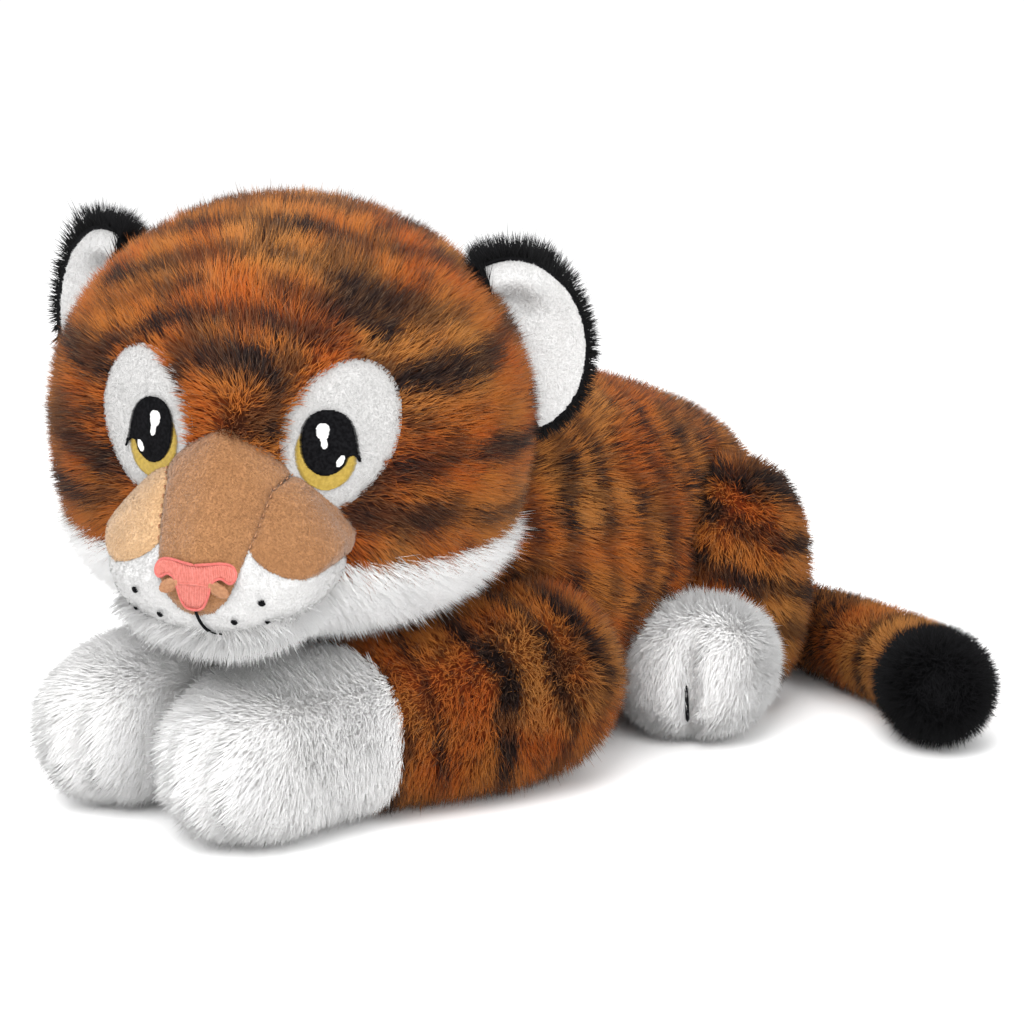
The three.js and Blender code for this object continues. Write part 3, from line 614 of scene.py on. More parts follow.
# %% Noise
lattice_size = 32
lattice = np.random.default_rng(11).uniform(-1, 1, (lattice_size, lattice_size, lattice_size))


def cloud(points, scale, seed):
    """Smooth noise from -1 to 1: random values on a lattice with the given spacing, each
    point mixing the eight corners of its cell."""
    p = points / scale + np.array([3.7, 9.1, 5.3]) * (seed + 1)
    cell = np.floor(p).astype(int)
    f = p - cell
    f = f * f * (3 - 2 * f)
    total = np.zeros(points.shape[:-1])
    for corner in range(8):
        step = np.array([corner & 1, corner >> 1 & 1, corner >> 2])
        at = (cell + step) % lattice_size
        weight = np.prod(np.where(step == 1, f, 1 - f), axis=-1)
        total += weight * lattice[at[..., 0], at[..., 1], at[..., 2]]
    return total


def hoops(place, spacing, width, wave, points, seed):
    """How dark a row of hoops is: 1 on a hoop, which covers the width's share of each
    spacing, and 0 between. Noise moves the edges by the wave, in millimetres."""
    bent_place = place + wave * cloud(points, 26, seed) + 0.35 * wave * cloud(points, 9, seed + 1)
    phase = np.abs((bent_place / spacing) % 1 - 0.5) * 2
    edge = width + 0.25 * cloud(points, 30, seed + 2)
    return eased(edge - phase, -0.09, 0.09)


def bands(place, chosen, wave, points, seed):
    """How dark chosen bands are: each has its middle and half width along the piece, and
    noise moves all of them by the wave, in millimetres."""
    place = place + wave * cloud(points, 24, seed) + 0.4 * wave * cloud(points, 8, seed + 1)
    dark = np.zeros(place.shape)
    for middle, half in chosen:
        dark = np.maximum(dark, eased(half - np.abs(place - middle), -2.2, 1.8))
    return dark


def mottled(points, seed, low):
    """From low to 1, in patches of a few millimetres: no dyed stripe is evenly dark."""
    return low + (1 - low) * eased(cloud(points, 8, seed) + 0.6 * cloud(points, 3.5, seed + 1), -0.7, 0.5)


def specks(points, scale, seed, most, low, high):
    """Dark specks, up to the most, where two noises together rise from low to high."""
    return most * eased(cloud(points, scale, seed) + 0.5 * cloud(points, 4, seed + 1), low, high)


# %% Stripes of each piece
brow_strokes = [  # half width in millimetres, then bearing and elevation in degrees
    (4.5, [(0, 19), (9, 18), (13, 13), (12, 3)]),
    (3.6, [(0, 30), (13, 28), (23, 26), (33, 22), (41, 17)]),
    (3.0, [(14, 38), (28, 33), (44, 27)]),
    (4.6, [(0, 50), (12, 49), (24, 45), (38, 38), (56, 32)]),
    (4.0, [(0, 66), (30, 60), (60, 50), (90, 44)]),
    (5.5, [(38, 12), (51, 15), (65, 15), (88, 21), (120, 24)]),
    (2.2, [(31, 4), (48, -1), (62, -2)]),
    (4.6, [(27, -13), (35, -10), (44, -6), (60, -4), (88, -5), (125, -2)]),
    (4.0, [(32, -18), (46, -18), (58, -18), (80, -21), (120, -20)]),
    (4.5, [(100, 4), (140, 12), (180, 14)]),
    (4.5, [(130, 36), (155, 34), (180, 36)]),
    (4.5, [(130, -10), (180, -12)]),
    (4.2, [(0, 84), (70, 74), (100, 63), (112, 52)]),
    (4.0, [(128, 78), (150, 66), (165, 55)]),
    (3.6, [(66, 60), (100, 58), (140, 52)]),
]
sleeve_bands = [(-117, 3.6), (-97, 2.0), (-74, 5.2), (-50, 3.2), (-33, 3.8), (-14, 3.0), (6, 3.6), (24, 3)]
tail_rings = [(20, 4.5), (38, 4.5), (54, 4), (66, 3.6), (77, 3.4), (88, 2.8), (117, 4.0)]


def away_from_line(place, line):
    """Each place's distance to a bent line: the least of its distances to the pieces."""
    least = np.full(place.shape[:-1], 1e9)
    for start, stop in zip(line[:-1], line[1:]):
        step = stop - start
        share = np.clip(((place - start) @ step) / (step @ step), 0, 1)
        least = np.minimum(least, np.linalg.norm(place - start - share[..., None] * step, axis=-1))
    return least


def head_dark(points):
    """Brush strokes over the forehead and the cheeks, the same on both sides. Bearing and
    elevation are the angles of the point as seen from the head's middle."""
    p = head_place.into(points)
    bearing = np.degrees(np.arctan2(np.abs(p[..., 0]), -p[..., 1]))
    elevation = np.degrees(np.arctan2(p[..., 2], np.hypot(p[..., 0], p[..., 1])))
    degree = np.pi / 180 * head_radius
    narrow = np.cos(np.radians(elevation)) * degree
    ripple = 0.5 + 3.6 * cloud(points, 17, 4) + 2.0 * cloud(points, 7, 5)
    dark = np.zeros(bearing.shape)
    for half, stroke in brow_strokes:
        spots = np.array(stroke, float)
        line = np.stack([spots[:, 0] * degree * np.cos(np.radians(spots[:, 1])), spots[:, 1] * degree], -1)
        away = away_from_line(np.stack([bearing * narrow, elevation * degree], -1), line)
        dark = np.maximum(dark, eased(half + ripple - away, -3.4, 3.0))
    dark = dark * mottled(points, 31, 0.8)
    return np.clip(np.maximum(dark, specks(points, 10, 33, 0.75, 0.14, 0.62)), 0, 1)


def torso_dark(points):
    """Broken hoops across the back, and dark patches low on the chest's front, under the head."""
    lean = 0.14 * np.abs(points[..., 0])
    dark = hoops(points[..., 1] - lean, 16, 0.56, 8, points, 3) * mottled(points, 35, 0.55)
    chest = eased(-points[..., 1] - 0.4 * points[..., 2], 32, 52)
    chest = chest * eased(cloud(points, 14, 8), -0.75, -0.45)
    return np.maximum(np.maximum(dark, specks(points, 9, 61, 0.7, 0.25, 0.75)), chest)


def sleeve_dark(points):
    """Bands round the arm, and specks between them."""
    place = points[..., 1] + 0.12 * points[..., 2]
    dark = bands(place, sleeve_bands, 6, points, 12) * mottled(points, 37, 0.6)
    return np.maximum(dark, specks(points, 8, 57, 0.7, 0.25, 0.7))


def haunch_dark(points):
    """Hoops that cross the haunch and sink towards its back."""
    dark = hoops(points[..., 2] + 0.35 * points[..., 1], 21, 0.5, 9, points, 15)
    return dark * mottled(points, 39, 0.6)


def tail_dark(points):
    """Rings at chosen distances along the tail's line, each with its own half width."""
    steps = np.linalg.norm(np.diff(tail.table[:, :3], axis=0), axis=1)
    place = np.interp(tail.nearest(points), tail.shares, np.concatenate([[0], np.cumsum(steps)]))
    return bands(place, tail_rings, 2.2, points, 18) * mottled(points, 41, 0.75)


def none_dark(points):
    """No stripes at all."""
    return np.zeros(points.shape[:-1])


def gold_and_tail_light(points):
    """Where the orange turns to gold: in slow patches, and on the tail's outer half, where the gold is partly
    painted light that brightens the tail in its shade.
    """
    patches = 0.55 * eased(cloud(points, 32, 51) + 0.3 * cloud(points, 12, 52), 0.05, 0.6)
    return np.maximum(patches, 0.75 * eased(points[..., 0] - 0.6 * points[..., 1], -10, 50)
                      * (points[..., 1] > 90) * (points[..., 0] > 75))


# %% [markdown]
# ## Fabrics
#
# Pile, velour and embroidery thread each need their own material. The pile's material
# reads four numbers that every hair carries: how dark its fabric is, how far up the hair
# a point lies, a chance of its own, and how golden it is, which on the tail is partly
# painted light. Roots are painted darker than tips, a painted shade for the light that
# reaches them less, and a few dark hairs end in pale grey.

# %% Material tools
def new_material(name, **inputs):
    """A material with the standard surface, some of its values, and its node tree."""
    material = bpy.data.materials.new(name)
    material.use_nodes = True
    surface = material.node_tree.nodes["Principled BSDF"]
    for key, value in inputs.items():
        surface.inputs[key.replace("_", " ")].default_value = value
    return material, material.node_tree, surface


def node(tree, kind, inputs=None, **settings):
    """A node with the given properties, and values for its unlinked inputs by name."""
    made = tree.nodes.new(kind)
    for key, value in settings.items():
        setattr(made, key, value)
    for key, value in (inputs or {}).items():
        made.inputs[key].default_value = value
    return made


def blended(tree, share, first, second, kind="MIX"):
    """One colour turning into another as the share goes from 0 to 1."""
    mix = node(tree, "ShaderNodeMix", data_type="RGBA", blend_type=kind)
    for plug, value in ((mix.inputs[0], share), (mix.inputs[6], first), (mix.inputs[7], second)):
        if isinstance(value, bpy.types.NodeSocket):
            tree.links.new(value, plug)
        else:
            plug.default_value = value if isinstance(value, float) else (*value, 1.0)
    return mix.outputs[2]


def ramped(tree, value, low, high, start=0.0, end=1.0):
    """The value carried from one range to another, and held at its ends."""
    reach = node(tree, "ShaderNodeMapRange", interpolation_type="SMOOTHSTEP", inputs={
        "From Min": low, "From Max": high, "To Min": start, "To Max": end,
    })
    tree.links.new(value, reach.inputs["Value"])
    return reach.outputs["Result"]


def times(tree, one, other):
    """The product of two values."""
    made = node(tree, "ShaderNodeMath", operation="MULTIPLY")
    tree.links.new(one, made.inputs[0])
    tree.links.new(other, made.inputs[1])
    return made.outputs[0]


def noise(tree, vector, scale, detail=2.0, roughness=0.5):
    """Noise over a vector that is in metres."""
    made = node(tree, "ShaderNodeTexNoise", {"Scale": scale, "Detail": detail, "Roughness": roughness})
    tree.links.new(vector, made.inputs["Vector"])
    return made.outputs["Fac"]


def bump(tree, surface, height, strength, depth):
    """Fine relief, in metres, on the surface's light."""
    made = node(tree, "ShaderNodeBump", {"Strength": strength, "Distance": depth})
    tree.links.new(height, made.inputs["Height"])
    tree.links.new(made.outputs["Normal"], surface.inputs["Normal"])


def object_place(tree):
    """Where on the piece a point lies, in metres."""
    return node(tree, "ShaderNodeTexCoord").outputs["Object"]


# %% Pile
def pile_material(name, light, warm, gold, dark, tip, root_shade, gloss=0.14, sheen=0.02):
    """Two light colours mixed by slow noise, gold where the fabric is gold and where the
    tail takes painted light, dark where the fabric is dark, pale ends on some hairs, and
    painted shade towards the root."""
    material, tree, surface = new_material(
        name, Specular_IOR_Level=gloss, Sheen_Weight=sheen, Sheen_Roughness=0.45)
    hair = node(tree, "ShaderNodeAttribute", attribute_name="strand")
    root = node(tree, "ShaderNodeAttribute", attribute_name="root").outputs["Vector"]
    parts = node(tree, "ShaderNodeSeparateColor")
    tree.links.new(hair.outputs["Color"], parts.inputs["Color"])
    darkness, along, chance = (parts.outputs[k] for k in range(3))
    slow, quick = noise(tree, root, 38.0, 3.0), noise(tree, root, 420.0, 1.0)
    tone = blended(tree, ramped(tree, slow, 0.35, 0.65), light, warm)
    tone = blended(tree, ramped(tree, chance, 0.0, 1.0, 0.0, 0.5), tone, warm)
    tone = blended(tree, hair.outputs["Alpha"], tone, gold)
    tone = blended(tree, darkness, tone, dark)
    pale = times(tree, ramped(tree, along, 0.45, 1.0), ramped(tree, chance, 0.62, 0.95))
    ended = blended(tree, times(tree, pale, ramped(tree, quick, 0.3, 0.7, 0.35, 0.85)), tone, tip)
    deep = blended(tree, 1.0, ended, root_shade, "MULTIPLY")
    colour = blended(tree, ramped(tree, along, 0.0, 0.55), deep, ended)
    tree.links.new(colour, surface.inputs["Base Color"])
    tree.links.new(ramped(tree, chance, 0.0, 1.0, 0.62, 0.86), surface.inputs["Roughness"])
    bump(tree, surface, noise(tree, object_place(tree), 2600.0), 0.35, 0.0002)
    return material


# A fabric is the name of its slot and its material.
tiger_fur = "tiger_fur", pile_material(
    "striped pile", (0.385, 0.074, 0.007), (0.42, 0.14, 0.024), (0.46, 0.20, 0.05),
    (0.016, 0.008, 0.007), (0.22, 0.14, 0.085), (0.42, 0.30, 0.24))
white_fur = "white_fur", pile_material(
    "white pile", (0.955, 0.95, 0.94), (0.97, 0.965, 0.96), (0.97, 0.965, 0.955), (0.88, 0.87, 0.86),
    (0.98, 0.98, 0.98), (0.985, 0.98, 0.975), sheen=0.3)
black_fur = "black_fur", pile_material(
    "black pile", (0.0035, 0.0035, 0.004), (0.008, 0.008, 0.009), (0.008, 0.008, 0.009),
    (0.003, 0.003, 0.003), (0.020, 0.020, 0.022), (0.6, 0.6, 0.6), 0.06, 0.015)
print("pile materials:", [material.name for _, material in (tiger_fur, white_fur, black_fur)])

# %% [markdown]
# ## Pile
#
# Hair curves would be the obvious choice, but they don't leave Blender as a shape. So
# each hair of the pile is a needle with three sides, which looks the same from all
# around. It leans the way the fur is combed, and its end is drawn towards its
# neighbours', which gives the clumped look of long plush.

# %% Pile tools
def rooted(skin, density, keep, rng):
    """Random roots on a skin, as many as the density in hairs for each square millimetre
    asks. Each face is as likely as it is large."""
    columns = skin.points.shape[1]
    corner = skin.points
    nxt = np.roll(corner, -1, axis=1)
    area = np.linalg.norm(np.cross(nxt[1:] - corner[:-1], nxt[:-1] - corner[1:]), axis=-1) / 2
    chance = np.cumsum((area * density).ravel())
    count = int(chance[-1] * fine)
    cell = np.searchsorted(chance, np.sort(rng.random(count)) * chance[-1])
    i, j = np.divmod(np.minimum(cell, len(chance) - 1), columns)
    u, v = rng.random((2, count, 1))
    k = (j + 1) % columns

    def at(grid):
        return ((1 - u) * ((1 - v) * grid[i, j] + v * grid[i, k])
                + u * ((1 - v) * grid[i + 1, j] + v * grid[i + 1, k]))

    roots, ways = at(skin.points), unit(at(skin.ways))
    stays = keep(roots, ways) > rng.random(count)
    return roots[stays], ways[stays]


def gathered(points, cells, cell_of):
    """The mean of the points that share a cell."""
    total = np.bincount(cell_of, minlength=cells).astype(float)
    sums = [np.bincount(cell_of, weights=points[:, k], minlength=cells) for k in range(3)]
    return np.stack(sums, -1)[cell_of] / total[cell_of][:, None]


def flattened(lay, ways):
    """The part of each lay that runs along the skin, as a direction."""
    return unit(lay - ways * (lay * ways).sum(-1, keepdims=True))


def add_small(name, points, corners, count, cell_uv, shown):
    """Many small pieces of equally many points as one mesh. Each has its own small cell
    in the picture coordinates, and shows the light the given directions."""
    made = add_mesh(name, points.reshape(-1, 3), threes=corners)
    wide = int(np.ceil(np.sqrt(count)))
    cell = np.stack([np.arange(count) % wide, np.arange(count) // wide], -1)[:, None, :]
    uv = ((cell + np.array(cell_uv)) / wide).reshape(-1, 2)
    index = np.empty(len(made.data.loops), np.int32)
    made.data.loops.foreach_get("vertex_index", index)
    layer = made.data.uv_layers.new(name="OFBake")
    layer.data.foreach_set("uv", uv[index].astype(np.float32).ravel())
    made.data.normals_split_custom_set_from_vertices(shown.reshape(-1, 3))
    return made


def add_needles(name, roots, end, ways, half, even, phase):
    """Every hair as a needle with three sides: three corners round its root and one at its
    end. The light sees the skin's direction, mixed with the way that each corner faces."""
    run = unit(end - roots)
    side = unit(np.cross(run, ways) + 0.02 * np.cross(run, [0.31, 0.53, 0.79]))
    up = np.cross(run, side)
    angle = (phase[:, None] + np.arange(3) * 2 * np.pi / 3)[..., None]
    radial = side[:, None] * np.cos(angle) + up[:, None] * np.sin(angle)
    ring = roots[:, None] + radial * half[:, None, None]
    needles = np.concatenate([ring, end[:, None]], axis=1)
    needles[..., 2] = np.maximum(needles[..., 2], above_floor)
    start = 4 * np.arange(len(roots))[:, None, None]
    corners = (start + np.array([[0, 1, 3], [1, 2, 3], [2, 0, 3]])).reshape(-1, 3)
    faced = np.concatenate([radial, run[:, None]], axis=1)
    shown = unit(even * ways[:, None] + (1 - even) * faced)
    cell_uv = [[0.12, 0.12], [0.88, 0.12], [0.5, 0.88], [0.5, 0.37]]
    return add_small(name, needles, corners, len(roots), cell_uv, shown)


def set_strand(thing, tone, chance, roots, along=(0,)):
    """The four numbers that the pile's material reads, and the root, for every point. Each
    root has as many points as there are places along its hair."""
    strand = np.repeat(np.stack([tone, tone, chance, gold_and_tail_light(roots)], -1), len(along), axis=0)
    strand[:, 1] = np.tile(along, len(roots))
    set_attribute(thing, "strand", "FLOAT_COLOR", strand)
    set_attribute(thing, "root", "FLOAT_VECTOR", np.repeat(roots * MM, len(along), axis=0))


above_floor = 0.3
hair_width = 0.42
length_range, long_hairs, long_extra = (0.76, 1.1), 0.06, 0.25
width_range, droop, spot_blur = (0.75, 1.25), 0.12, 1.3
odd_hairs, odd_tufts, odd_in_tuft, odd_tone = 0.07, 0.13, 0.6, (0.3, 0.9)
cell_keys = [73856093, 19349663, 83492791]  # large numbers that tell one cell from another


def pile(name, body, fabric, skin, comb, dark, keep, length, density, seed, clump=3.0, lie=0.42,
         unruly=0.42, gather=0.36, even=0.7, stray=0.19):
    """A piece of pile. Each hair leaves the skin along its way out, leans over along the
    comb, strays a little, and its end is drawn towards the ends of its neighbours."""
    rng = np.random.default_rng(seed)
    roots, ways = rooted(skin, density, keep, rng)
    count = len(roots)
    reach = length(roots) if callable(length) else np.full(count, float(length))
    uneven = rng.uniform(*length_range, count) + long_extra * (rng.random(count) < long_hairs)
    reach = (reach * uneven)[:, None]
    lay = flattened(comb(roots, ways), ways)
    swirl = (1.5 * unruly * cloud(roots, 17, seed) + 0.9 * unruly * cloud(roots, 7, seed + 5))[:, None]
    lay = lay * np.cos(swirl) + np.cross(ways, lay) * np.sin(swirl)
    lying = (lie + 0.35 * unruly * cloud(roots, 12, seed + 9))[:, None]
    astray = rng.normal(0, stray, (count, 3))
    first = unit(ways + 0.75 * lying * lay + astray)
    second = unit(ways * (1 - 0.75 * lying) + 1.35 * lying * lay + 1.4 * astray - [0, 0, droop])
    end = roots + 0.52 * reach * (first + second)
    cell = np.floor(roots / clump + 0.35 * np.stack([cloud(roots, 2.2 * clump, k) for k in (21, 22, 23)], -1))
    key = (cell.astype(np.int64) * cell_keys).sum(-1)
    cells, cell_of = np.unique(key, return_inverse=True)
    pull = np.clip(gather + 0.25 * rng.normal(size=(count, 1)), 0, 0.95)
    end = end + pull * (gathered(end, len(cells), cell_of) - end)
    half = 0.62 * hair_width * rng.uniform(*width_range, count)
    made = add_needles(name, roots, end, ways, half, even, rng.uniform(0, 7, count))
    tone = dark(roots + rng.normal(0, spot_blur, (count, 3)))
    chance = rng.random(count)
    tuft = rng.random(len(cells))[cell_of]
    odd = ((rng.random(count) < odd_hairs) | (tuft < odd_tufts) & (rng.random(count) < odd_in_tuft))
    tone = np.where(odd & (tone < 0.4), rng.uniform(*odd_tone, count), tone)
    set_strand(made, tone, chance, roots, (0, 0, 0, 1))
    print(name, count, "hairs")
    return sewn_on(made, body, fabric)


# %% Comb directions and borders
def steady(*way):
    """The same comb direction everywhere."""
    return lambda roots, ways: np.broadcast_to(np.array(way, float), roots.shape).copy()


def from_head(roots, ways):
    """Away from the nose, over the forehead and the cheeks to the back."""
    way = head_place.into(roots) - [0, -96, -35]
    way[..., 1] += 18
    return head_place.out_way(way)


def padded_skin(name, body, fabric, points, dark, nodes):
    """The stuffed skin itself, which carries the same numbers as its pile does."""
    points, quads, caps = closed_grid(points)
    made = add_mesh(name, points, quads, caps)
    face_outwards(made)
    set_strand(made, dark(points), np.full(len(points), 0.5), points)
    sewn_on(made, body, fabric, nodes)


def cut_skin(skin, rows):
    """Some rows of a skin, closed at each cut by drawing the cut's ring to its middle."""
    points = skin.points[rows]
    ends = [np.broadcast_to(points[k].mean(0), points[k].shape) for k in (0, -1)]
    return np.concatenate([ends[0][None], points, ends[1][None]])


# %% Skins of every piece
padded_skin("torso_skin", "torso", tiger_fur, torso_roots.points[::2, ::2], torso_dark,
            ["torso_cover", "torso_stuffing"])
padded_skin("head_skin", "head", tiger_fur, head_roots.points[::2, ::2], head_dark,
            ["head_cover", "head_stuffing", "jaw_ruff"])
for side, word in sides.items():
    leg, front, hind = leg_roots[side], f"{word}_front_leg", f"{word}_hind_leg"
    cuff = int(np.argmax(leg.points.mean(1)[:, 1] < cuff_place))
    padded_skin(f"{word}_sleeve_skin", front, tiger_fur, cut_skin(leg, slice(1, cuff)), sleeve_dark,
                [f"{word}_front_sleeve", f"{word}_front_leg_stuffing"])
    padded_skin(f"{word}_front_paw_skin", front, white_fur, cut_skin(leg, slice(cuff, -1)), none_dark,
                [f"{word}_front_paw"])
    padded_skin(f"{word}_haunch_skin", hind, tiger_fur, haunch_roots[side].points[::2, ::2], haunch_dark,
                [f"{word}_haunch", f"{word}_hind_leg_stuffing"])
    padded_skin(f"{word}_hind_paw_skin", hind, white_fur, hind_paw_roots[side].points, none_dark,
                [f"{word}_hind_paw"])
tip_seam = tail_root + tail_reach * np.array([0.787, -0.21])
tip_way = np.array([math.cos(math.radians(-41)), math.sin(math.radians(-41))])


def past_tip_seam(points):
    """Millimetres beyond the seam between the tail and its black end."""
    return (points[..., :2] - tip_seam) @ tip_way


tip_row = int(np.argmax(past_tip_seam(tail_roots.points.mean(1)) > 0))
padded_skin("tail_skin", "tail", tiger_fur, cut_skin(tail_roots, slice(1, tip_row)), tail_dark,
            ["tail_cover", "tail_stuffing"])
padded_skin("tail_tip_skin", "tail", black_fur, cut_skin(tail_roots, slice(tip_row, -1)), none_dark,
            ["tail_tip"])
print("cuff at row", cuff, "and tail tip at row", tip_row)


# %% The torso's pile
torso_neighbours = (head, shoulders[1], shoulders[-1], haunches[1], haunches[-1], tail_ball)


def torso_keep(roots, ways):
    """No pile where the head, a limb or the tail is sewn on, and none underneath."""
    near = np.minimum.reduce([form.gap(roots) for form in torso_neighbours])
    return (near > -2.0) & (roots[..., 2] > 7.5)


def torso_length_of(roots):
    """Short where a leg lies against the flank, long elsewhere."""
    near = np.minimum.reduce([form.gap(roots) for form in (*arms.values(), *hind_paws.values())])
    return 4 + 6.5 * eased(near, -8, 4)


def torso_comb(roots, ways):
    """Backwards, and down the flanks."""
    way = np.zeros(roots.shape)
    way[..., 1] = 1.0
    way[..., 2] = -0.55 * eased(np.abs(roots[..., 0]), 10, 60)
    return way


for side, word in sides.items():
    def half_keep(roots, ways, side=side):
        return torso_keep(roots, ways) * (roots[..., 0] * side >= 0)
    pile(f"{word}_torso_pile", "torso", tiger_fur, torso_roots, torso_comb, torso_dark, half_keep,
         torso_length_of, 1.4, seed=30 + side)


# %% The head's pile
patch_out, patch_up, patch_lean = 38.5, 2.5, math.radians(14)
patch_half = (20.5, 30.0)
under_seam = 1.6  # millimetres that the pile goes on under a patch's edge
shortest, longer, growing = 6.5, 4.0, 14  # the face's hair, and how far out it grows longer


def patch_place(side):
    """The eye patch's middle and lean, on the head's front."""
    return np.array([side * patch_out + eyes_aside, patch_up]), side * patch_lean


def in_patch(points, side, grow=0.0):
    """Below 1 inside the eye patch's egg, seen straight from the front."""
    middle, lean = patch_place(side)
    p = head_place.into(points) / head.gauge(points)[0][..., None]
    flat = p[..., [0, 2]] - middle
    c, s = math.cos(lean), math.sin(lean)
    across, up = flat[..., 0] * c - flat[..., 1] * s, flat[..., 0] * s + flat[..., 1] * c
    size = np.hypot(across / (patch_half[0] + grow), up / (patch_half[1] + grow))
    return np.where(p[..., 1] < 0, size, 9.0)


def head_keep(roots, ways):
    """No pile on the eye patches, under the muzzle or at the ruff's white fur, whose
    border is uneven."""
    kept = (in_patch(roots, 1, -under_seam) > 1) & (in_patch(roots, -1, -under_seam) > 1)
    border = ruff_line + 3.5 * cloud(roots, 8, 71) - 0.5
    return kept & (muzzle.gap(roots) > -1.0) & (head_place.into(roots)[..., 2] > border)


def head_length_of(roots):
    """Short next to the eyes and the muzzle, and long at the back and the crown."""
    near = np.minimum(in_patch(roots, 1), in_patch(roots, -1)) - 1
    return shortest + longer * eased(np.minimum(near * 20, muzzle.gap(roots)), 0, growing)


for side, word in sides.items():
    def half_head(roots, ways, side=side):
        return head_keep(roots, ways) * (head_place.into(roots)[..., 0] * side >= 0)
    pile(f"{word}_head_pile", "head", tiger_fur, head_roots, from_head, head_dark, half_head,
         head_length_of, 1.8, seed=40 + side)


# %% The white fur under the jaw and the chin
def ruff_keep(roots, ways):
    """Below the ruff line, and not where the muzzle is. The fur goes on inside the torso,
    as the head turns it out."""
    kept = (head_place.into(roots)[..., 2] <= ruff_line + 4) & (muzzle.gap(roots) > -2)
    return kept * (torso.gap(roots) > -42)


def ruff_length_of(roots):
    """Long under the jaw, and short where the head lies in the torso."""
    return 7 + 8 * eased(torso.gap(roots), -18, -6)


def ruff_comb(roots, ways):
    """Down and outwards."""
    way = head_place.into(roots) * [1.0, 0.4, 0.0]
    way[..., 2] = -18.0
    return head_place.out_way(way)


def chin_keep(roots, ways):
    """The muzzle's underside, behind the seam of its white velour."""
    steep = -(ways @ head_place.turn) @ head_place.turn[2]
    return (steep > 0.62) * (head_place.into(roots)[..., 1] > -103) * (head.gap(roots) > -6)


def chin_comb(roots, ways):
    """Down and forward, and outwards at the sides."""
    p = head_place.into(roots)
    way = np.stack([0.5 * (p[..., 0] - face_aside), np.full(len(p), -16.0), np.full(len(p), -14.0)], -1)
    return head_place.out_way(way)


chin_roots = Skin(muzzle.surface(*spread(90, 96), 2.5))
pile("jaw_ruff_pile", "head", white_fur, head_roots, ruff_comb, none_dark, ruff_keep, ruff_length_of,
     1.8, seed=52, clump=3.2, unruly=0.25, gather=0.2, even=0.92, stray=0.14)
pile("chin_fringe_pile", "head", white_fur, chin_roots, chin_comb, none_dark, chin_keep, 12.5, 2.0,
     seed=53, lie=0.5, unruly=0.3, gather=0.25, even=0.9, stray=0.16)

# %% The limbs' and the tail's pile
swing_margin = 15  # a swing of 20 degrees brings out this much of a limb's root
over_floor, paw_over_floor = 6.5, 5.5
paw_pile = {"lie": 0.62, "unruly": 0.2, "gather": 0.1, "clump": 2.4, "even": 0.97, "stray": 0.12}


def past_torso(roots, low):
    """Outside the torso, or inside it by no more than a swing brings out, and above the
    underside."""
    return (torso.gap(roots) > -swing_margin) * (roots[..., 2] > low)


for side, word in sides.items():
    def sleeve_keep(roots, ways):
        return past_torso(roots, over_floor) * (roots[..., 1] > cuff_place - 1)

    def paw_keep(roots, ways):
        return (roots[..., 1] <= cuff_place + 1) * (roots[..., 2] > paw_over_floor)

    def haunch_keep(roots, ways, side=side):
        return past_torso(roots, over_floor + 1) * (hind_paws[side].gap(roots) > -3)

    def hind_paw_keep(roots, ways, side=side):
        return (haunches[side].gap(roots) > -3) * (roots[..., 2] > paw_over_floor)

    front, hind = f"{word}_front_leg", f"{word}_hind_leg"
    pile(f"{word}_sleeve_pile", front, tiger_fur, leg_roots[side], steady(0, -1, -0.15), sleeve_dark,
         sleeve_keep, 9.5, 1.5, seed=60 + side, unruly=0.3, gather=0.3)
    pile(f"{word}_front_paw_pile", front, white_fur, leg_roots[side], steady(0, -1, -0.35), none_dark,
         paw_keep, 10.5, 2.4, seed=64 + side, **paw_pile)
    pile(f"{word}_haunch_pile", hind, tiger_fur, haunch_roots[side], steady(0, -0.3, -1), haunch_dark,
         haunch_keep, 10, 1.5, seed=68 + side)
    pile(f"{word}_hind_paw_pile", hind, white_fur, hind_paw_roots[side], steady(side * 0.4, -1, -0.35),
         none_dark, hind_paw_keep, 9.5, 2.4, seed=72 + side, **paw_pile)


def along_tail(roots, ways):
    """The direction of the tail's line at its nearest point."""
    return tail.ring_frame(tail.nearest(roots))[1]


def tail_keep(roots, ways):
    """Up to the seam of the black end, and a little way into the torso."""
    return (past_tip_seam(roots) < 0.5) * past_torso(roots, 5.0)


def tip_keep(roots, ways):
    """From the seam of the black end on, and above the underside."""
    return (past_tip_seam(roots) > -0.5) * (roots[..., 2] > 4.0)


pile("tail_pile", "tail", tiger_fur, tail_roots, along_tail, tail_dark, tail_keep, 8.0, 1.6, seed=80,
     unruly=0.22, gather=0.25)
pile("tail_tip_pile", "tail", black_fur, tail_roots, along_tail, none_dark, tip_keep, 9, 1.9, seed=81,
     unruly=0.25, gather=0.2)

# %% [markdown]
# ## Velour and embroidery
#
# The muzzle, the eye patches and the ear linings are cut from short velour. A panel is
# drawn as an outline on the form's front, filled with points and triangles, and then
# lifted onto the form. Near its seam the cloth is drawn down, and further in the stuffing
# pushes it up, so every panel is a low pillow. It could also be carved from one surface,
# but then two cloths would share an edge, which no sewn toy does.

# %% Velour, thread
def velour_material(name, main, other, shade):
    """Velour: a slow change between two near colours, a fine nap whose dips take a painted shade, and a soft
    sheen.
    """
    material, tree, surface = new_material(
        name, Specular_IOR_Level=0.15, Sheen_Weight=0.35, Sheen_Roughness=0.5)
    place = object_place(tree)
    nap = noise(tree, place, 1300.0, 3.0, 0.6)
    colour = blended(tree, ramped(tree, noise(tree, place, 60.0, 3.0), 0.35, 0.65), main, other)
    colour = blended(tree, ramped(tree, nap, 0.62, 0.3), colour, shade)
    tree.links.new(colour, surface.inputs["Base Color"])
    tree.links.new(ramped(tree, nap, 0.3, 0.7, 0.78, 0.95), surface.inputs["Roughness"])
    bump(tree, surface, nap, 0.8, 0.0006)
    return material


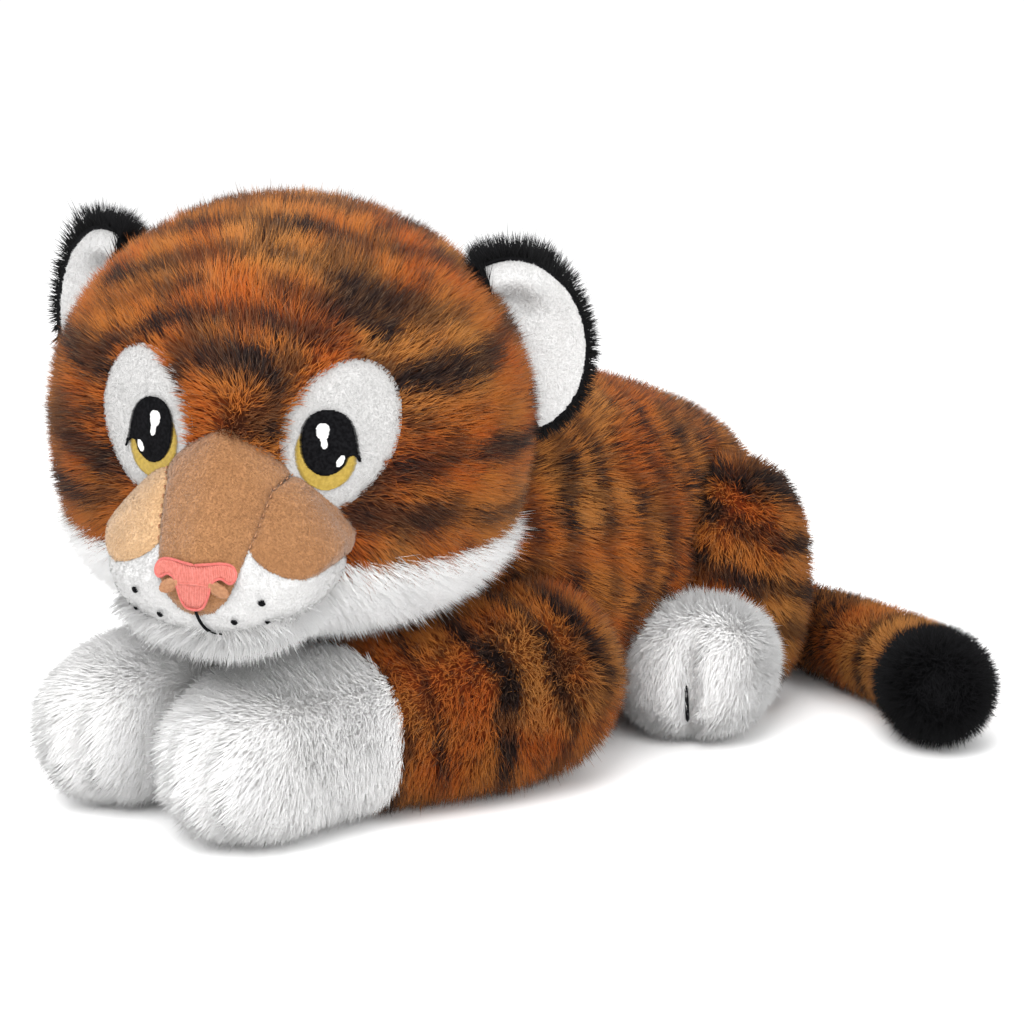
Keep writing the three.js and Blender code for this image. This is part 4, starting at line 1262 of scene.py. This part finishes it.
def thread_material(name, main, other, rough, gloss=0.45, sheen=0.1):
    """Rayon thread: two near colours from stitch to stitch, and fine twisted relief."""
    material, tree, surface = new_material(name, Specular_IOR_Level=gloss, Sheen_Weight=sheen)
    place = object_place(tree)
    stitch = noise(tree, place, 900.0, 2.0)
    tree.links.new(blended(tree, ramped(tree, stitch, 0.35, 0.65), main, other), surface.inputs["Base Color"])
    tree.links.new(ramped(tree, stitch, 0.3, 0.7, rough, rough + 0.15), surface.inputs["Roughness"])
    twist = node(tree, "ShaderNodeTexWave", {"Scale": 900.0, "Distortion": 3.0, "Detail": 1.0},
                 bands_direction="DIAGONAL")
    tree.links.new(place, twist.inputs["Vector"])
    bump(tree, surface, twist.outputs["Fac"], 0.5, 0.0002)
    return material


tan_velour = "tan_velour", velour_material(
    "tan velour", (0.30, 0.14, 0.055), (0.335, 0.162, 0.066), (0.225, 0.10, 0.038))
# The right cheek takes the same tan velour painted lighter: painted light on that side of the muzzle.
lit_tan_velour = "tan_velour", velour_material(
    "tan velour with painted light", (0.51, 0.32, 0.165), (0.55, 0.355, 0.19), (0.41, 0.245, 0.12))
white_velour = "white_velour", velour_material(
    "white velour", (0.60, 0.595, 0.59), (0.64, 0.635, 0.63), (0.50, 0.495, 0.49))
# The eye patches take the white velour painted darker: a painted shade for the hollow that they lie in.
shaded_eye_velour = "white_velour", velour_material(
    "eye patch velour with painted shade", (0.43, 0.425, 0.42), (0.465, 0.46, 0.455), (0.37, 0.365, 0.36))
pink_satin = "pink_satin", thread_material(
    "pink satin thread", (0.44, 0.105, 0.076), (0.52, 0.15, 0.12), 0.36)
rose_satin = "pink_satin", thread_material(
    "rose edge thread", (0.40, 0.070, 0.056), (0.48, 0.095, 0.078), 0.36)
brown_thread = "brown_thread", thread_material(
    "brown thread", (0.27, 0.115, 0.045), (0.36, 0.17, 0.075), 0.42)
black_thread = "black_thread", thread_material(
    "black thread", (0.003, 0.003, 0.0035), (0.008, 0.008, 0.009), 0.5, 0.02, 0.0)
gold_thread = "gold_thread", thread_material(
    "gold thread", (0.30, 0.20, 0.018), (0.38, 0.26, 0.035), 0.36)
white_thread = "white_thread", thread_material(
    "white thread", (0.70, 0.70, 0.695), (0.76, 0.76, 0.755), 0.38)


# %% Panels
def within(points, outline):
    """Whether points lie inside a closed outline: a ray crosses it an odd number of times."""
    x, y = points[:, :1], points[:, 1:2]
    ax, ay = outline[:, 0], outline[:, 1]
    bx, by = np.roll(ax, -1), np.roll(ay, -1)
    with np.errstate(divide="ignore", invalid="ignore"):
        crossing = ((ay > y) != (by > y)) & (x < (bx - ax) * (y - ay) / (by - ay) + ax)
    return crossing.sum(1) % 2 == 1


def filled(outline, step):
    """Points and triangles that fill an outline, whose own points come first, and each
    point's distance from the outline."""
    low, high = outline.min(0), outline.max(0)
    heights, places = np.arange(low[1], high[1], step * 0.87), np.arange(low[0], high[0], step)
    i, j = np.meshgrid(heights, places, indexing="ij")
    row = np.arange(len(heights))[:, None] % 2
    inner = np.stack([(j + 0.5 * step * row).ravel(), i.ravel()], -1)
    inner = inner[within(inner, outline)]
    closed = np.vstack([outline, outline[:1]])
    inner = inner[away_from_line(inner, closed) > 0.55 * step]
    count = len(outline)
    edges = [(k, (k + 1) % count) for k in range(count)]
    made = delaunay_2d_cdt(np.vstack([outline, inner]).tolist(), edges, [list(range(count))], 1, 1e-7)
    spots = np.array([list(v) for v in made[0]])
    return spots, np.array([list(f) for f in made[2]], np.int32), away_from_line(spots, closed)


def rim_of(triangles):
    """The edges that only one triangle has, in its own direction."""
    edges = np.vstack([triangles[:, [0, 1]], triangles[:, [1, 2]], triangles[:, [2, 0]]])
    key = np.sort(edges, axis=1)
    first, count = np.unique(key, axis=0, return_index=True, return_counts=True)[1:]
    return edges[first[count == 1]]


def panel(name, body, fabric, outline, lift, thickness, step, nodes=(), nap=None):
    """A closed piece of cloth: the filled outline lifted to the cloth's face, once more to
    its back, and walls between. The lift takes flat places, their distance from the
    outline and a depth, and gives points on the toy."""
    spots, triangles, away = filled(outline, step)
    face, back = lift(spots, away, 0.0), lift(spots, away, thickness)
    rim = rim_of(triangles)
    count = len(spots)
    walls = np.stack([rim[:, 1], rim[:, 0], rim[:, 0] + count, rim[:, 1] + count], -1)
    made = add_mesh(name, np.vstack([face, back]), walls, np.vstack([triangles, triangles[:, ::-1] + count]))
    face_outwards(made)
    if nap:
        add_nap(name + "_nap", body, fabric, face, triangles, face - back, **nap)
    return sewn_on(made, body, fabric, nodes)


def add_nap(name, body, fabric, points, triangles, outwards, length, density, width, seed, lean):
    """Velour's short nap: single narrow triangles, scattered evenly over the cloth."""
    rng = np.random.default_rng(seed)
    a, b, c = (points[triangles[:, k]] for k in range(3))
    way = np.cross(b - a, c - a)
    total = np.cumsum(np.linalg.norm(way, axis=-1) / 2 * density * fine)
    count = int(total[-1])
    pick = np.searchsorted(total, np.sort(rng.random(count)) * total[-1])
    u, v = rng.random((2, count, 1))
    over = u + v > 1
    u, v = np.where(over, 1 - u, u), np.where(over, 1 - v, v)
    roots = a[pick] + u * (b - a)[pick] + v * (c - a)[pick]
    turned_in = (way * outwards[triangles[:, 0]]).sum(-1, keepdims=True) < 0
    ways = unit(np.where(turned_in, -way, way))[pick]
    lay = unit(0.55 * ways + flattened(np.array(lean) + rng.normal(0, 0.6, (count, 3)), ways))
    across = unit(np.cross(ways, lay)) * width / 2
    end = roots + lay * length * rng.uniform(0.7, 1.2, (count, 1))
    strips = np.stack([roots + across, roots - across, end], axis=1)
    corners = np.arange(3 * count, dtype=np.int32).reshape(-1, 3)
    shown = np.repeat(unit(ways + 0.15 * lay), 3, axis=0)
    cell_uv = [[0.15, 0.15], [0.85, 0.15], [0.5, 0.85]]
    sewn_on(add_small(name, strips, corners, count, cell_uv, shown), body, fabric)


# %% Lifting onto a form
def halved(low, high, inside, times):
    """The places between low and high where a form begins: the interval is halved again
    and again. Low lies on the side where inside is true, and high on the other."""
    for _ in range(times):
        middle = (low + high) / 2
        hit = inside(middle)
        low, high = np.where(hit, middle, low), np.where(hit, high, middle)
    return low, high


def front_of(form, flat):
    """Points straight in front of the head's flat places, on the form's surface."""
    def at(deep):
        return np.stack([flat[:, 0], deep, flat[:, 1]], -1)

    outer, inner = np.full(len(flat), -150.0), np.full(len(flat), -20.0)
    return at(halved(outer, inner, lambda deep: form.gap(head_place.out(at(deep))) >= 0, 30)[1])


muzzle_heart = np.array([face_aside, -62.0, -36.0])
front_way = head_place.out_way(np.array([0.0, -1.0, 0.0]))


def muzzle_point(spread_out):
    """Points on the muzzle in the direction that a flat place names: its length is the
    angle from straight ahead in degrees, and its direction is the side to turn to."""
    angle = np.radians(np.linalg.norm(spread_out, axis=-1))
    side = np.arctan2(spread_out[:, 1], spread_out[:, 0])
    way = np.stack([np.sin(angle) * np.cos(side), -np.cos(angle), np.sin(angle) * np.sin(side)], -1)

    def inside(far):
        return muzzle.gap(head_place.out(muzzle_heart + way * far[:, None])) < 0

    far = halved(np.zeros(len(way)), np.full(len(way), 90.0), inside, 28)[0]
    return muzzle_heart + way * far[:, None], way


def muzzle_flat(front_places):
    """The flat places of points that are named by their place in a front view."""
    way = front_of(muzzle, np.array(front_places, float) + [face_aside, 0]) - muzzle_heart
    angle = np.degrees(np.arccos(np.clip(-way[:, 1] / np.linalg.norm(way, axis=1), -1, 1)))
    side = np.arctan2(way[:, 2], way[:, 0])
    return np.stack([angle * np.cos(side), angle * np.sin(side)], -1)


def pillow(away, dip, swell, reach):
    """How far cloth stands out at a distance from its seam."""
    return swell * (1 - np.exp(-away / reach)) - dip


def muzzle_lift(level, swell=1.7):
    """Lifts a panel onto the muzzle, at a level above it, as a pillow."""
    def lift(spots, away, depth):
        points, way = muzzle_point(spots)
        out = level + pillow(away, 1.3, swell, 4.5) - depth
        return head_place.out(points + way * out[:, None])
    return lift


# %% [markdown]
# ## The muzzle
#
# Three tan panels lie over the nose and the cheeks, and a white one under them. The seams
# between them run from the eyes to beside the nose, and from there the tan cloth hangs
# down on each side in a shallow scallop.

# %% Muzzle
seam_line = [(20.0, -14.5), (19.3, -20), (18.3, -27), (16.8, -33)]
under_nose = [(15.6, -38), (14.2, -44), (11, -51), (6, -56), (0, -57.5)]
scallop = [(16.8, -33), (19.5, -36.5), (24, -39.7), (30, -42.3), (35.5, -43.2), (39.6, -42.2), (42, -40.4)]
hidden_angle = 108


def outer(flat_place):
    """The place carried on outwards to where the muzzle is hidden in the head."""
    return flat_place * hidden_angle / np.linalg.norm(flat_place)


def outer_arc(start, stop, count=24):
    """Places on the hidden ring, from one place's side to another's."""
    a, b = (math.atan2(p[1], p[0]) for p in (start, stop))
    turn = np.linspace(a, b, count + 2)[1:-1]
    return hidden_angle * np.stack([np.cos(turn), np.sin(turn)], -1)


def mirrored(line):
    """The line on the other side of the face, in reverse order."""
    return (np.array(line, float) * [-1, 1])[::-1]


seam_flat, under_flat, scallop_flat = (
    evenly(muzzle_flat(line), 22, closed=False) for line in (seam_line, under_nose, scallop)
)
seam_flat = np.vstack([outer(seam_flat[0]), seam_flat])
scallop_flat = np.vstack([scallop_flat, outer(scallop_flat[-1])])
bridge_outline = np.vstack([
    seam_flat, under_flat[1:-1], mirrored(under_flat)[:-1], mirrored(seam_flat),
    outer_arc(mirrored(seam_flat)[-1], seam_flat[0]),
])
cheek_outline = np.vstack([seam_flat, scallop_flat[1:], outer_arc(scallop_flat[-1], seam_flat[0])])
low_arc = outer_arc(scallop_flat[-1], np.array([0.0, -1.0]))
lower_outline = np.vstack([
    scallop_flat[::-1], under_flat[1:-1], mirrored(under_flat)[:-1], mirrored(scallop_flat)[::-1][1:],
    mirrored(low_arc), [[0.0, -hidden_angle]], low_arc[::-1],
])
soft_nap = {"length": 0.9, "density": 5.5, "width": 0.36, "lean": (0, 0, -0.5)}
panel("muzzle_bridge_cloth", "head", tan_velour, bridge_outline, muzzle_lift(0.3), 2.2, 1.8,
      ["muzzle_bridge"], {**soft_nap, "seed": 101})
# The right cheek's panel is the tan velour with painted light.
for side, word in sides.items():
    panel(f"{word}_muzzle_cloth", "head", tan_velour if side > 0 else lit_tan_velour,
          cheek_outline if side > 0 else mirrored(cheek_outline), muzzle_lift(0.3, 2.4), 2.2, 1.8,
          [f"{word}_muzzle_panel"], {**soft_nap, "seed": 102 + side})
panel("lower_muzzle_cloth", "head", white_velour, lower_outline, muzzle_lift(-0.3), 2.2, 1.8,
      ["lower_muzzle"], {**soft_nap, "length": 1.3, "seed": 104})
muzzle_core = add_mesh("muzzle_padding", *closed_grid(muzzle.surface(*spread(48, 56), 4.0)))
face_outwards(muzzle_core)
sewn_on(muzzle_core, "head", ("stuffing", white_velour[1]), ["muzzle_stuffing"])
print("muzzle sewn from", len(bridge_outline), len(cheek_outline), len(lower_outline), "outline points")

# %% [markdown]
# ## Thread
#
# Every embroidered mark is real thread here: rows of fine round stitches across the
# mark's outline, each one raised in its middle and dipping into the cloth at both ends.

# %% Thread tools
sides_round = 6


def tubes(name, body, fabric, paths, radius, facing, nodes=()):
    """Round threads along lines of equally many points. Each ring lies in the plane
    across its line, and the line's ends are closed by a point."""
    count, length = paths.shape[:2]
    way = unit(np.gradient(paths, axis=1))
    side = unit(np.cross(way, facing))
    up = np.cross(side, way)
    angle = 2 * np.pi * np.arange(sides_round) / sides_round
    size = radius * np.minimum(1, 0.35 + np.minimum(np.arange(length), np.arange(length)[::-1]) * 0.65)
    ring = side[..., None, :] * np.cos(angle)[:, None] + up[..., None, :] * np.sin(angle)[:, None]
    points = paths[..., None, :] + ring * size[:, None, None]
    ends = np.stack([paths[:, 0] - way[:, 0] * radius * 0.4, paths[:, -1] + way[:, -1] * radius * 0.4], 1)
    every = np.concatenate([points.reshape(count, -1, 3), ends], axis=1)
    quads, caps = tube_faces(length, sides_round)
    start = every.shape[1] * np.arange(count)[:, None, None]
    made = add_mesh(name, every.reshape(-1, 3), (quads + start).reshape(-1, 4), (caps + start).reshape(-1, 3))
    face_outwards(made)
    return sewn_on(made, body, fabric, nodes)


def stitches(outline, lean, pitch, length, rng):
    """Rows across an outline, at an angle: where each row meets the outline, it gives one
    stitch for each stretch inside. The stitches' ends are a little uneven."""
    c, s = math.cos(lean), math.sin(lean)
    turned = outline @ np.array([[c, -s], [s, c]])
    nxt = np.roll(turned, -1, axis=0)
    lines = []
    for height in np.arange(turned[:, 1].min() + pitch / 2, turned[:, 1].max(), pitch):
        hit = (turned[:, 1] > height) != (nxt[:, 1] > height)
        a, b = turned[hit], nxt[hit]
        across = np.sort(a[:, 0] + (height - a[:, 1]) / (b[:, 1] - a[:, 1]) * (b[:, 0] - a[:, 0]))
        for left, right in zip(across[::2], across[1::2]):
            left, right = left + rng.normal(0, 0.1), right + rng.normal(0, 0.1)
            if right - left > 0.5:
                x = np.linspace(left, right, length)
                lines.append(np.stack([x, np.full(length, height)], -1))
    return np.array(lines) @ np.array([[c, s], [-s, c]])


def satin(name, fabric, outline, surface, level, nodes, seed, lean=0.0, pitch=0.46, radius=0.3, length=9):
    """A satin fill on the face: stitches lifted onto a surface that takes flat places and
    a height, with their middles raised and their ends sunk."""
    rows = stitches(outline, lean, pitch, length, np.random.default_rng(seed))
    arch = np.sin(np.pi * np.linspace(0, 1, length)) ** 0.5 * 0.35 - 0.3
    paths = surface(rows.reshape(-1, 2), level + np.tile(arch, len(rows))).reshape(len(rows), length, 3)
    tubes(name, "head", fabric, paths, radius, front_way, nodes)
    print(name, len(rows), "stitches")


def oval(middle, half, lean=0.0, count=72):
    """An oval outline at a place, leaning by an angle."""
    t = np.linspace(0, 2 * np.pi, count, endpoint=False)
    x, y = half[0] * np.cos(t), half[1] * np.sin(t)
    c, s = math.cos(lean), math.sin(lean)
    return np.stack([middle[0] + c * x - s * y, middle[1] + s * x + c * y], -1)


# %% [markdown]
# ## The eyes
#
# Each eye patch is an egg of white velour that is pressed into the face by the fur round
# it, and its velour is painted darker as painted shade for that hollow. On it lie the gold
# iris, the black pupil with the lash that runs on above the iris, and two white highlights.

# %% Eye patches
patch_sunk = 4.4


def patch_surface(flat, height):
    """Places on the eye patch: the head's front, a little inside the pile, plus a height."""
    points = front_of(head, flat)
    away = unit(points * [1.0, 1.0, 0.8])
    level = np.asarray(height) - patch_sunk - socket(points)
    return head_place.out(points + away * level[..., None])


def patch_lift(spots, away, depth):
    """Lifts the patch's cloth onto the face as a pillow."""
    return patch_surface(spots, pillow(away, 1.4, 1.9, 5.0) - depth)


def egg(side):
    """The patch's outline: an oval whose lower inner end is narrower."""
    middle, lean = patch_place(side)
    t = np.linspace(0, 2 * np.pi, 110, endpoint=False)
    narrow = 1 - 0.12 * np.maximum(-np.sin(t), 0)
    x, y = patch_half[0] * np.cos(t) * narrow, patch_half[1] * np.sin(t)
    c, s = math.cos(-lean), math.sin(-lean)
    return middle + np.stack([c * x - s * y, s * x + c * y], -1)


# Each patch is sewn from the white velour with painted shade.
for side, word in sides.items():
    nap = {"length": 0.8, "density": 5.0, "width": 0.34, "lean": (0, 0, -0.3), "seed": 110 + side}
    panel(f"{word}_eye_cloth", "head", shaded_eye_velour, egg(side), patch_lift, 2.2, 1.7,
          [f"{word}_eye_patch"], nap)

# %% Eyes
pupil_out, pupil_up = 35.3, 0.0
# The pupil and the lash in one: the pupil's oval, widened over the top to the iris's
# edge, and drawn to a point at the outer corner.
lash_points = [
    (-8.7, -3.5), (-9.4, 2.5), (-8.3, 8.2), (-5.1, 12.0), (0, 13.5), (5.4, 12.1), (9.0, 8.4),
    (10.9, 2.6), (11.7, -3.2), (12.1, -7.8), (10.4, -4.4), (8.5, -4.6), (6.9, -8.3), (3.7, -11.0),
    (0, -11.9), (-3.7, -11.0), (-6.7, -8.1),
]
shine_points = [(0, 4.2), (2.1, 3.0), (2.4, 0.4), (1.7, -2.2), (2.0, -4.4), (0.9, -5.7),
                (-0.3, -4.6), (-0.6, -2.6), (-2.2, -0.2), (-2.1, 3.0)]

for side, word in sides.items():
    centre = np.array([side * pupil_out + eyes_aside, pupil_up])
    iris = oval(centre + [side * 0.1, -3.7], (11.1, 13.9))
    lash = smooth_loop(lash_points, 150) * [side, 1] + [side * pupil_out + eyes_aside, pupil_up]
    shine = smooth_loop(shine_points, 80) * [side, 1] + centre + [side * -1.2, 4.3]
    glint = oval(centre + [side * 5.3, -6.2], (1.2, 2.3), side * -0.5, 40)
    satin(f"{word}_eye_iris_thread", gold_thread, iris, patch_surface, 0.9, [f"{word}_eye_iris"],
          seed=120, length=13)
    satin(f"{word}_eye_pupil_thread", black_thread, lash, patch_surface, 1.45, [f"{word}_eye_pupil"],
          seed=121, length=13)
    satin(f"{word}_eye_large_highlight_thread", white_thread, shine, patch_surface, 1.95,
          [f"{word}_eye_large_highlight"], seed=122, pitch=0.42)
    satin(f"{word}_eye_small_highlight_thread", white_thread, glint, patch_surface, 1.85,
          [f"{word}_eye_small_highlight"], seed=123, pitch=0.42)


# %% [markdown]
# ## Nose, mouth and whisker marks

# %% Seams
def seam_stitches(name, line, side):
    """Short brown stitches along a seam, sunk between the two cloths."""
    way = evenly(line, 34, closed=False)[4:] * [side, 1]
    pairs = np.stack([way[:-1:2], way[1::2]], axis=1)
    share = np.linspace(0.1, 0.9, 5)[None, :, None]
    flat = pairs[:, :1] + (pairs[:, 1:] - pairs[:, :1]) * share
    points, out = muzzle_point(flat.reshape(-1, 2))
    sunk = np.tile(np.array([-0.7, 0.0, 0.2, 0.0, -0.7]), len(flat))[:, None] - 0.1
    paths = head_place.out(points + out * sunk).reshape(len(flat), 5, 3)
    tubes(name, "head", brown_thread, paths, 0.3, front_way)


for side, word in sides.items():
    seam_stitches(f"{word}_muzzle_seam_thread", seam_flat, side)


# %% Nose
def muzzle_surface(flat, height):
    """Places on the front of the muzzle, at a height over it."""
    points = front_of(muzzle, flat + [face_aside, 0])
    return head_place.out(points + unit(points - muzzle_heart) * np.asarray(height)[..., None])


def bed_lift(spots, away, depth):
    """Lifts the pad under the nose's stitches, which is flat."""
    return muzzle_surface(spots, 1.5 - depth)


nose_half = [(0, 7.0), (4, 7.4), (9, 7.9), (12.6, 7.3), (14.4, 5.2), (14.4, 2.8), (12.6, 1.6), (9.8, 3.1),
             (7.2, 1.9), (5.9, -1.4), (4.7, -5.0), (3.0, -7.8), (0, -8.6)]
nose_points = nose_half + [(-x, y) for x, y in nose_half[-2:0:-1]]
nose_outline = smooth_loop(nose_points, 220) + [0, -45]
satin("nose_thread", pink_satin, nose_outline, muzzle_surface, 1.9, ["nose"], seed=130,
      lean=math.pi / 2, pitch=0.58, radius=0.36)
panel("nose_bed", "head", pink_satin, smooth_loop(nose_points, 120) * 0.97 + [0, -45], bed_lift, 1.6, 1.6)
rim_line = evenly(np.vstack([nose_outline, nose_outline[:1]]), 120, closed=False) * [0.975, 1.0]
nose_crease = np.stack([np.linspace(-5.2, 5.2, 12), -44.6 + 0.3 * np.cos(np.linspace(-2, 2, 12))], -1)
tubes("nose_crease_thread", "head", pink_satin, muzzle_surface(nose_crease, np.full(12, 2.3))[None],
      0.3, front_way)
tubes("nose_rim_thread", "head", rose_satin, muzzle_surface(rim_line, np.full(120, 1.75))[None],
      0.55, front_way)
for side, word in sides.items():
    nostril = oval((side * 8.8, -45.9), (3.8, 2.4), side * math.radians(-29))
    satin(f"{word}_nostril_thread", brown_thread, nostril, muzzle_surface, 2.0, [f"{word}_nostril"],
          seed=131, lean=side * 0.9, pitch=0.42)


# %% Mouth and whisker marks
def line_thread(name, fabric, flat, height, radius, nodes=(), count=24):
    """One thread laid along a line on the muzzle, with its ends sunk."""
    line = evenly(flat, count, closed=False)
    bend = np.full(count, float(height))
    bend[[0, -1]] -= 0.6
    tubes(name, "head", fabric, muzzle_surface(line, bend)[None], radius, front_way, nodes)


mouth = [(0.3, -53.6), (0.8, -56), (1.7, -58.6), (3.0, -61), (4.6, -62.6), (6.4, -63.2), (8.5, -63.3)]
smooth_mouth = drawn_through(np.array(mouth), np.linspace(0, 1, 40))
line_thread("mouth_thread", black_thread, smooth_mouth[:26], 1.0, 0.62, ["mouth_stitch"])
line_thread("mouth_thread_end", black_thread, smooth_mouth[24:], 0.9, 0.28)
whisker_dots = [(23, -50, 1.25), (13.5, -57.5, 1.15), (24, -57.5, 0.7)]
for side, word in sides.items():
    for number, (out, up, size) in enumerate(whisker_dots, 1):
        dot = oval((side * out, up), (size, size * 0.85), 0.3 * side, 36)
        satin(f"{word}_whisker_{number}_thread", black_thread, dot, muzzle_surface, 1.3,
              [f"{word}_whisker_dot_{number}"], seed=140, pitch=0.36, radius=0.24, length=6)

# %% [markdown]
# ## The ears
#
# An ear is a cup: black pile behind, and white velour in front. The lining is folded over
# near the top, which leaves a soft roll with a shadow under it.

# %% Ears
ear_skin_inset, lining_inset = 3.5, 4.2  # the cup and its lining lie inside the solid ear


def ear_place(side):
    """The ear's own axes: X points away from the head, and its face looks along -Y. The
    right ear's x is mirrored on the head."""
    out = head_radius * (1 - (ear_up / head_half_height) ** 2.2) ** (1 / 2.2) + ear_aside[side]
    origin = [out * math.cos(ear_behind), out * math.sin(ear_behind), ear_up]
    return Place(origin, turn_about_z(ear_sweep) @ turn_about_y(ear_tilt), side)


ears = {side: ear_place(side) for side in sides}


def ear_out(points, side):
    """An ear's points on the toy."""
    return head_place.out(ears[side].out(points))


def ear_bowl(flat, inset):
    """The cup's back: the rounded side of a ball that is squashed to the ear's depth."""
    size = np.hypot(flat[:, 0] / (ear_reach - inset), flat[:, 1] / (ear_half_length - inset))
    return (ear_depth - inset) * np.sqrt(np.maximum(1 - size ** 2, 0))


def ear_face(flat, inset):
    """The lining: a shallow cup with a rolled fold near its top."""
    x, z = flat[:, 0] / (ear_reach - inset), flat[:, 1] / (ear_half_length - inset)
    size = np.hypot(x, z)
    cup = -2.6 + 7.5 * np.maximum(1 - size ** 2, 0) ** 0.8
    angle = np.degrees(np.arctan2(z, x))
    fold = np.exp(-((size - 0.73) / 0.15) ** 2) * eased(angle, 8, 62)
    shadow = np.exp(-((size - 0.45) / 0.14) ** 2) * eased(angle, 10, 60)
    return cup - 5.0 * fold + 3.2 * shadow


def ear_outline(inset, root, lower_top=0.0):
    """Half an oval from the root at the bottom round to the root at the top."""
    reach, length = ear_reach - inset, ear_half_length - inset
    t = np.linspace(-1, 1, 80) * (math.pi / 2 + math.asin(root / reach))
    top = lower_top * np.maximum(np.sin(t), 0)
    arc = np.stack([reach * np.cos(t), (length - top) * np.sin(t)], -1)
    return np.vstack([arc, np.linspace(arc[-1], arc[0], 22)[1:-1]])


for side, word in sides.items():
    def lining_lift(spots, away, depth, side=side):
        deep = ear_face(spots, lining_inset) + 0.9 - pillow(away, 0.6, 0.9, 1.5) + depth
        return ear_out(np.stack([spots[:, 0], deep, spots[:, 1]], -1), side)

    def cup_lift(spots, away, depth, side=side):
        front = ear_face(spots, lining_inset) + 2.6 - 2.4 * np.exp(-away / 0.4)
        deep = np.maximum(ear_bowl(spots, ear_skin_inset), front + 0.6) if depth else front
        return ear_out(np.stack([spots[:, 0], deep, spots[:, 1]], -1), side)

    nap = {"length": 0.9, "density": 5.0, "width": 0.36, "lean": (0, 0, 0.2), "seed": 150 + side}
    panel(f"{word}_ear_lining_cloth", f"{word}_ear", white_velour, ear_outline(4.1, 3.5, 1.5), lining_lift,
          1.6, 1.8, [f"{word}_ear_lining"], nap)
    cup = panel(f"{word}_ear_skin", f"{word}_ear", black_fur, ear_outline(ear_skin_inset, 4.0), cup_lift,
                1.0, 2.2, [f"{word}_ear_back"])
    set_attribute(cup, "strand", "FLOAT_COLOR", np.tile([0.0, 0.0, 0.5, 1.0], (len(cup.data.vertices), 1)))


# %% The ears' pile
def ear_grid(side):
    """The back of the ear as a grid, from the fold at its rim round to the root."""
    share = np.linspace(0, 1, 60)[:, None]
    t = np.linspace(-1, 1, 90)[None, :] * (math.pi / 2 + 0.11)
    lean = share * math.pi / 2
    reach, length, depth = (size - ear_skin_inset for size in (ear_reach, ear_half_length, ear_depth))
    x = reach * np.cos(t) * np.cos(lean)
    z = length * np.sin(t) * np.cos(lean)
    y = depth * np.sin(lean) + 0 * t - 2.6 * (1 - share) ** 2
    return ear_out(np.stack([x, y, z], -1), side)


def ear_length_of(side):
    """Short at the rim's side and bottom, long at its top."""
    def length(roots):
        return 6.0 + 5.0 * eased(ears[side].into(head_place.into(roots))[..., 2], 0, 28)
    return length


def ear_comb(side):
    """Outwards from the ear's middle, and a little forward."""
    middle = ear_out(np.array([4.0, 6.0, 0.0]), side)
    forward = head_place.out_way(ears[side].out_way(np.array([0.0, -9.0, 0.0])))
    return lambda roots, ways: roots - middle + forward


def ear_keep(roots, ways):
    """Outside the head, or only just inside it."""
    return head.gap(roots) > -1.5


for side, word in sides.items():
    pile(f"{word}_ear_pile", f"{word}_ear", black_fur, Skin(ear_grid(side), closed=False), ear_comb(side),
         none_dark, ear_keep, ear_length_of(side), 3.4, seed=160 + side, clump=2.6, lie=0.4, unruly=0.7,
         gather=0.25)

# %% [markdown]
# ## Toe lines
#
# Each paw is drawn in by a few long stitches through the stuffing, which show as short
# dark lines between the toes, half sunk in the pile.

# %% Toe stitches
straight_ahead = np.array([0.0, -1.0, 0.0])


def toe_line(form, across, low, high, sink, count=16):
    """A line up the front of a paw at a sideways place: for each height, the form's
    foremost point, sunk a little."""
    y = np.linspace(form.table[:, 0].min(), form.table[:, 0].max(), 400)
    line = []
    for height in np.linspace(high, low, count):
        grid = np.stack([np.full(400, across), y, np.full(400, height)], -1)
        inside = form.gap(form.place.out(grid)) < 0
        line.append(grid[np.argmax(inside)] + [0, sink, 0])
    return form.place.out(np.array(line))[None]


for side, word in sides.items():
    for number, across in enumerate(front_toes, 1):
        tubes(f"{word}_front_toe_{number}_thread", f"{word}_front_leg", black_thread,
              toe_line(arms[side], across, 9, 24, 10.6), 0.5, straight_ahead,
              [f"{word}_front_toe_stitch_{number}"])
    tubes(f"{word}_hind_toe_thread", f"{word}_hind_leg", black_thread,
          toe_line(hind_paws[side], hind_toe, 12, 28, 6.2), 0.85, straight_ahead,
          [f"{word}_hind_toe_stitch"])

# %% [markdown]
# ## The stage
#
# A pale floor and soft light from all sides, as in a catalogue photograph.

# %% Stage
half_floor = 3000
floor_corners = np.array([[-1.0, -1, 0], [1, -1, 0], [1, 1, 0], [-1, 1, 0]]) * half_floor
floor_mesh = add_mesh("floor", floor_corners, np.array([[0, 1, 2, 3]]))
floor_mesh.data.materials.append(
    new_material("pale floor", Base_Color=(0.97, 0.97, 0.97, 1), Roughness=0.9)[0])

world = bpy.data.worlds.new("studio")
bpy.context.scene.world = world
world.use_nodes = True
world.node_tree.nodes["Background"].inputs["Color"].default_value = (1, 1, 1, 1)
world.node_tree.nodes["Background"].inputs["Strength"].default_value = 1.06


toy_middle = (10, 0, 80)


def soft_light(name, azimuth, elevation, distance, size, power):
    """A large square lamp on a sphere round the toy, that looks at its middle."""
    lamp = bpy.data.lights.new(name, "AREA")
    lamp.size, lamp.energy = size, power
    look_in(lamp, azimuth, elevation, distance, toy_middle)


soft_light("key", 18, 50, 1200, 0.9, 13.5)
soft_light("fill", 66, 9, 1300, 1.2, 9)
soft_light("top", 200, 75, 1200, 1.1, 7)
bpy.context.scene.view_settings.view_transform = "Standard"
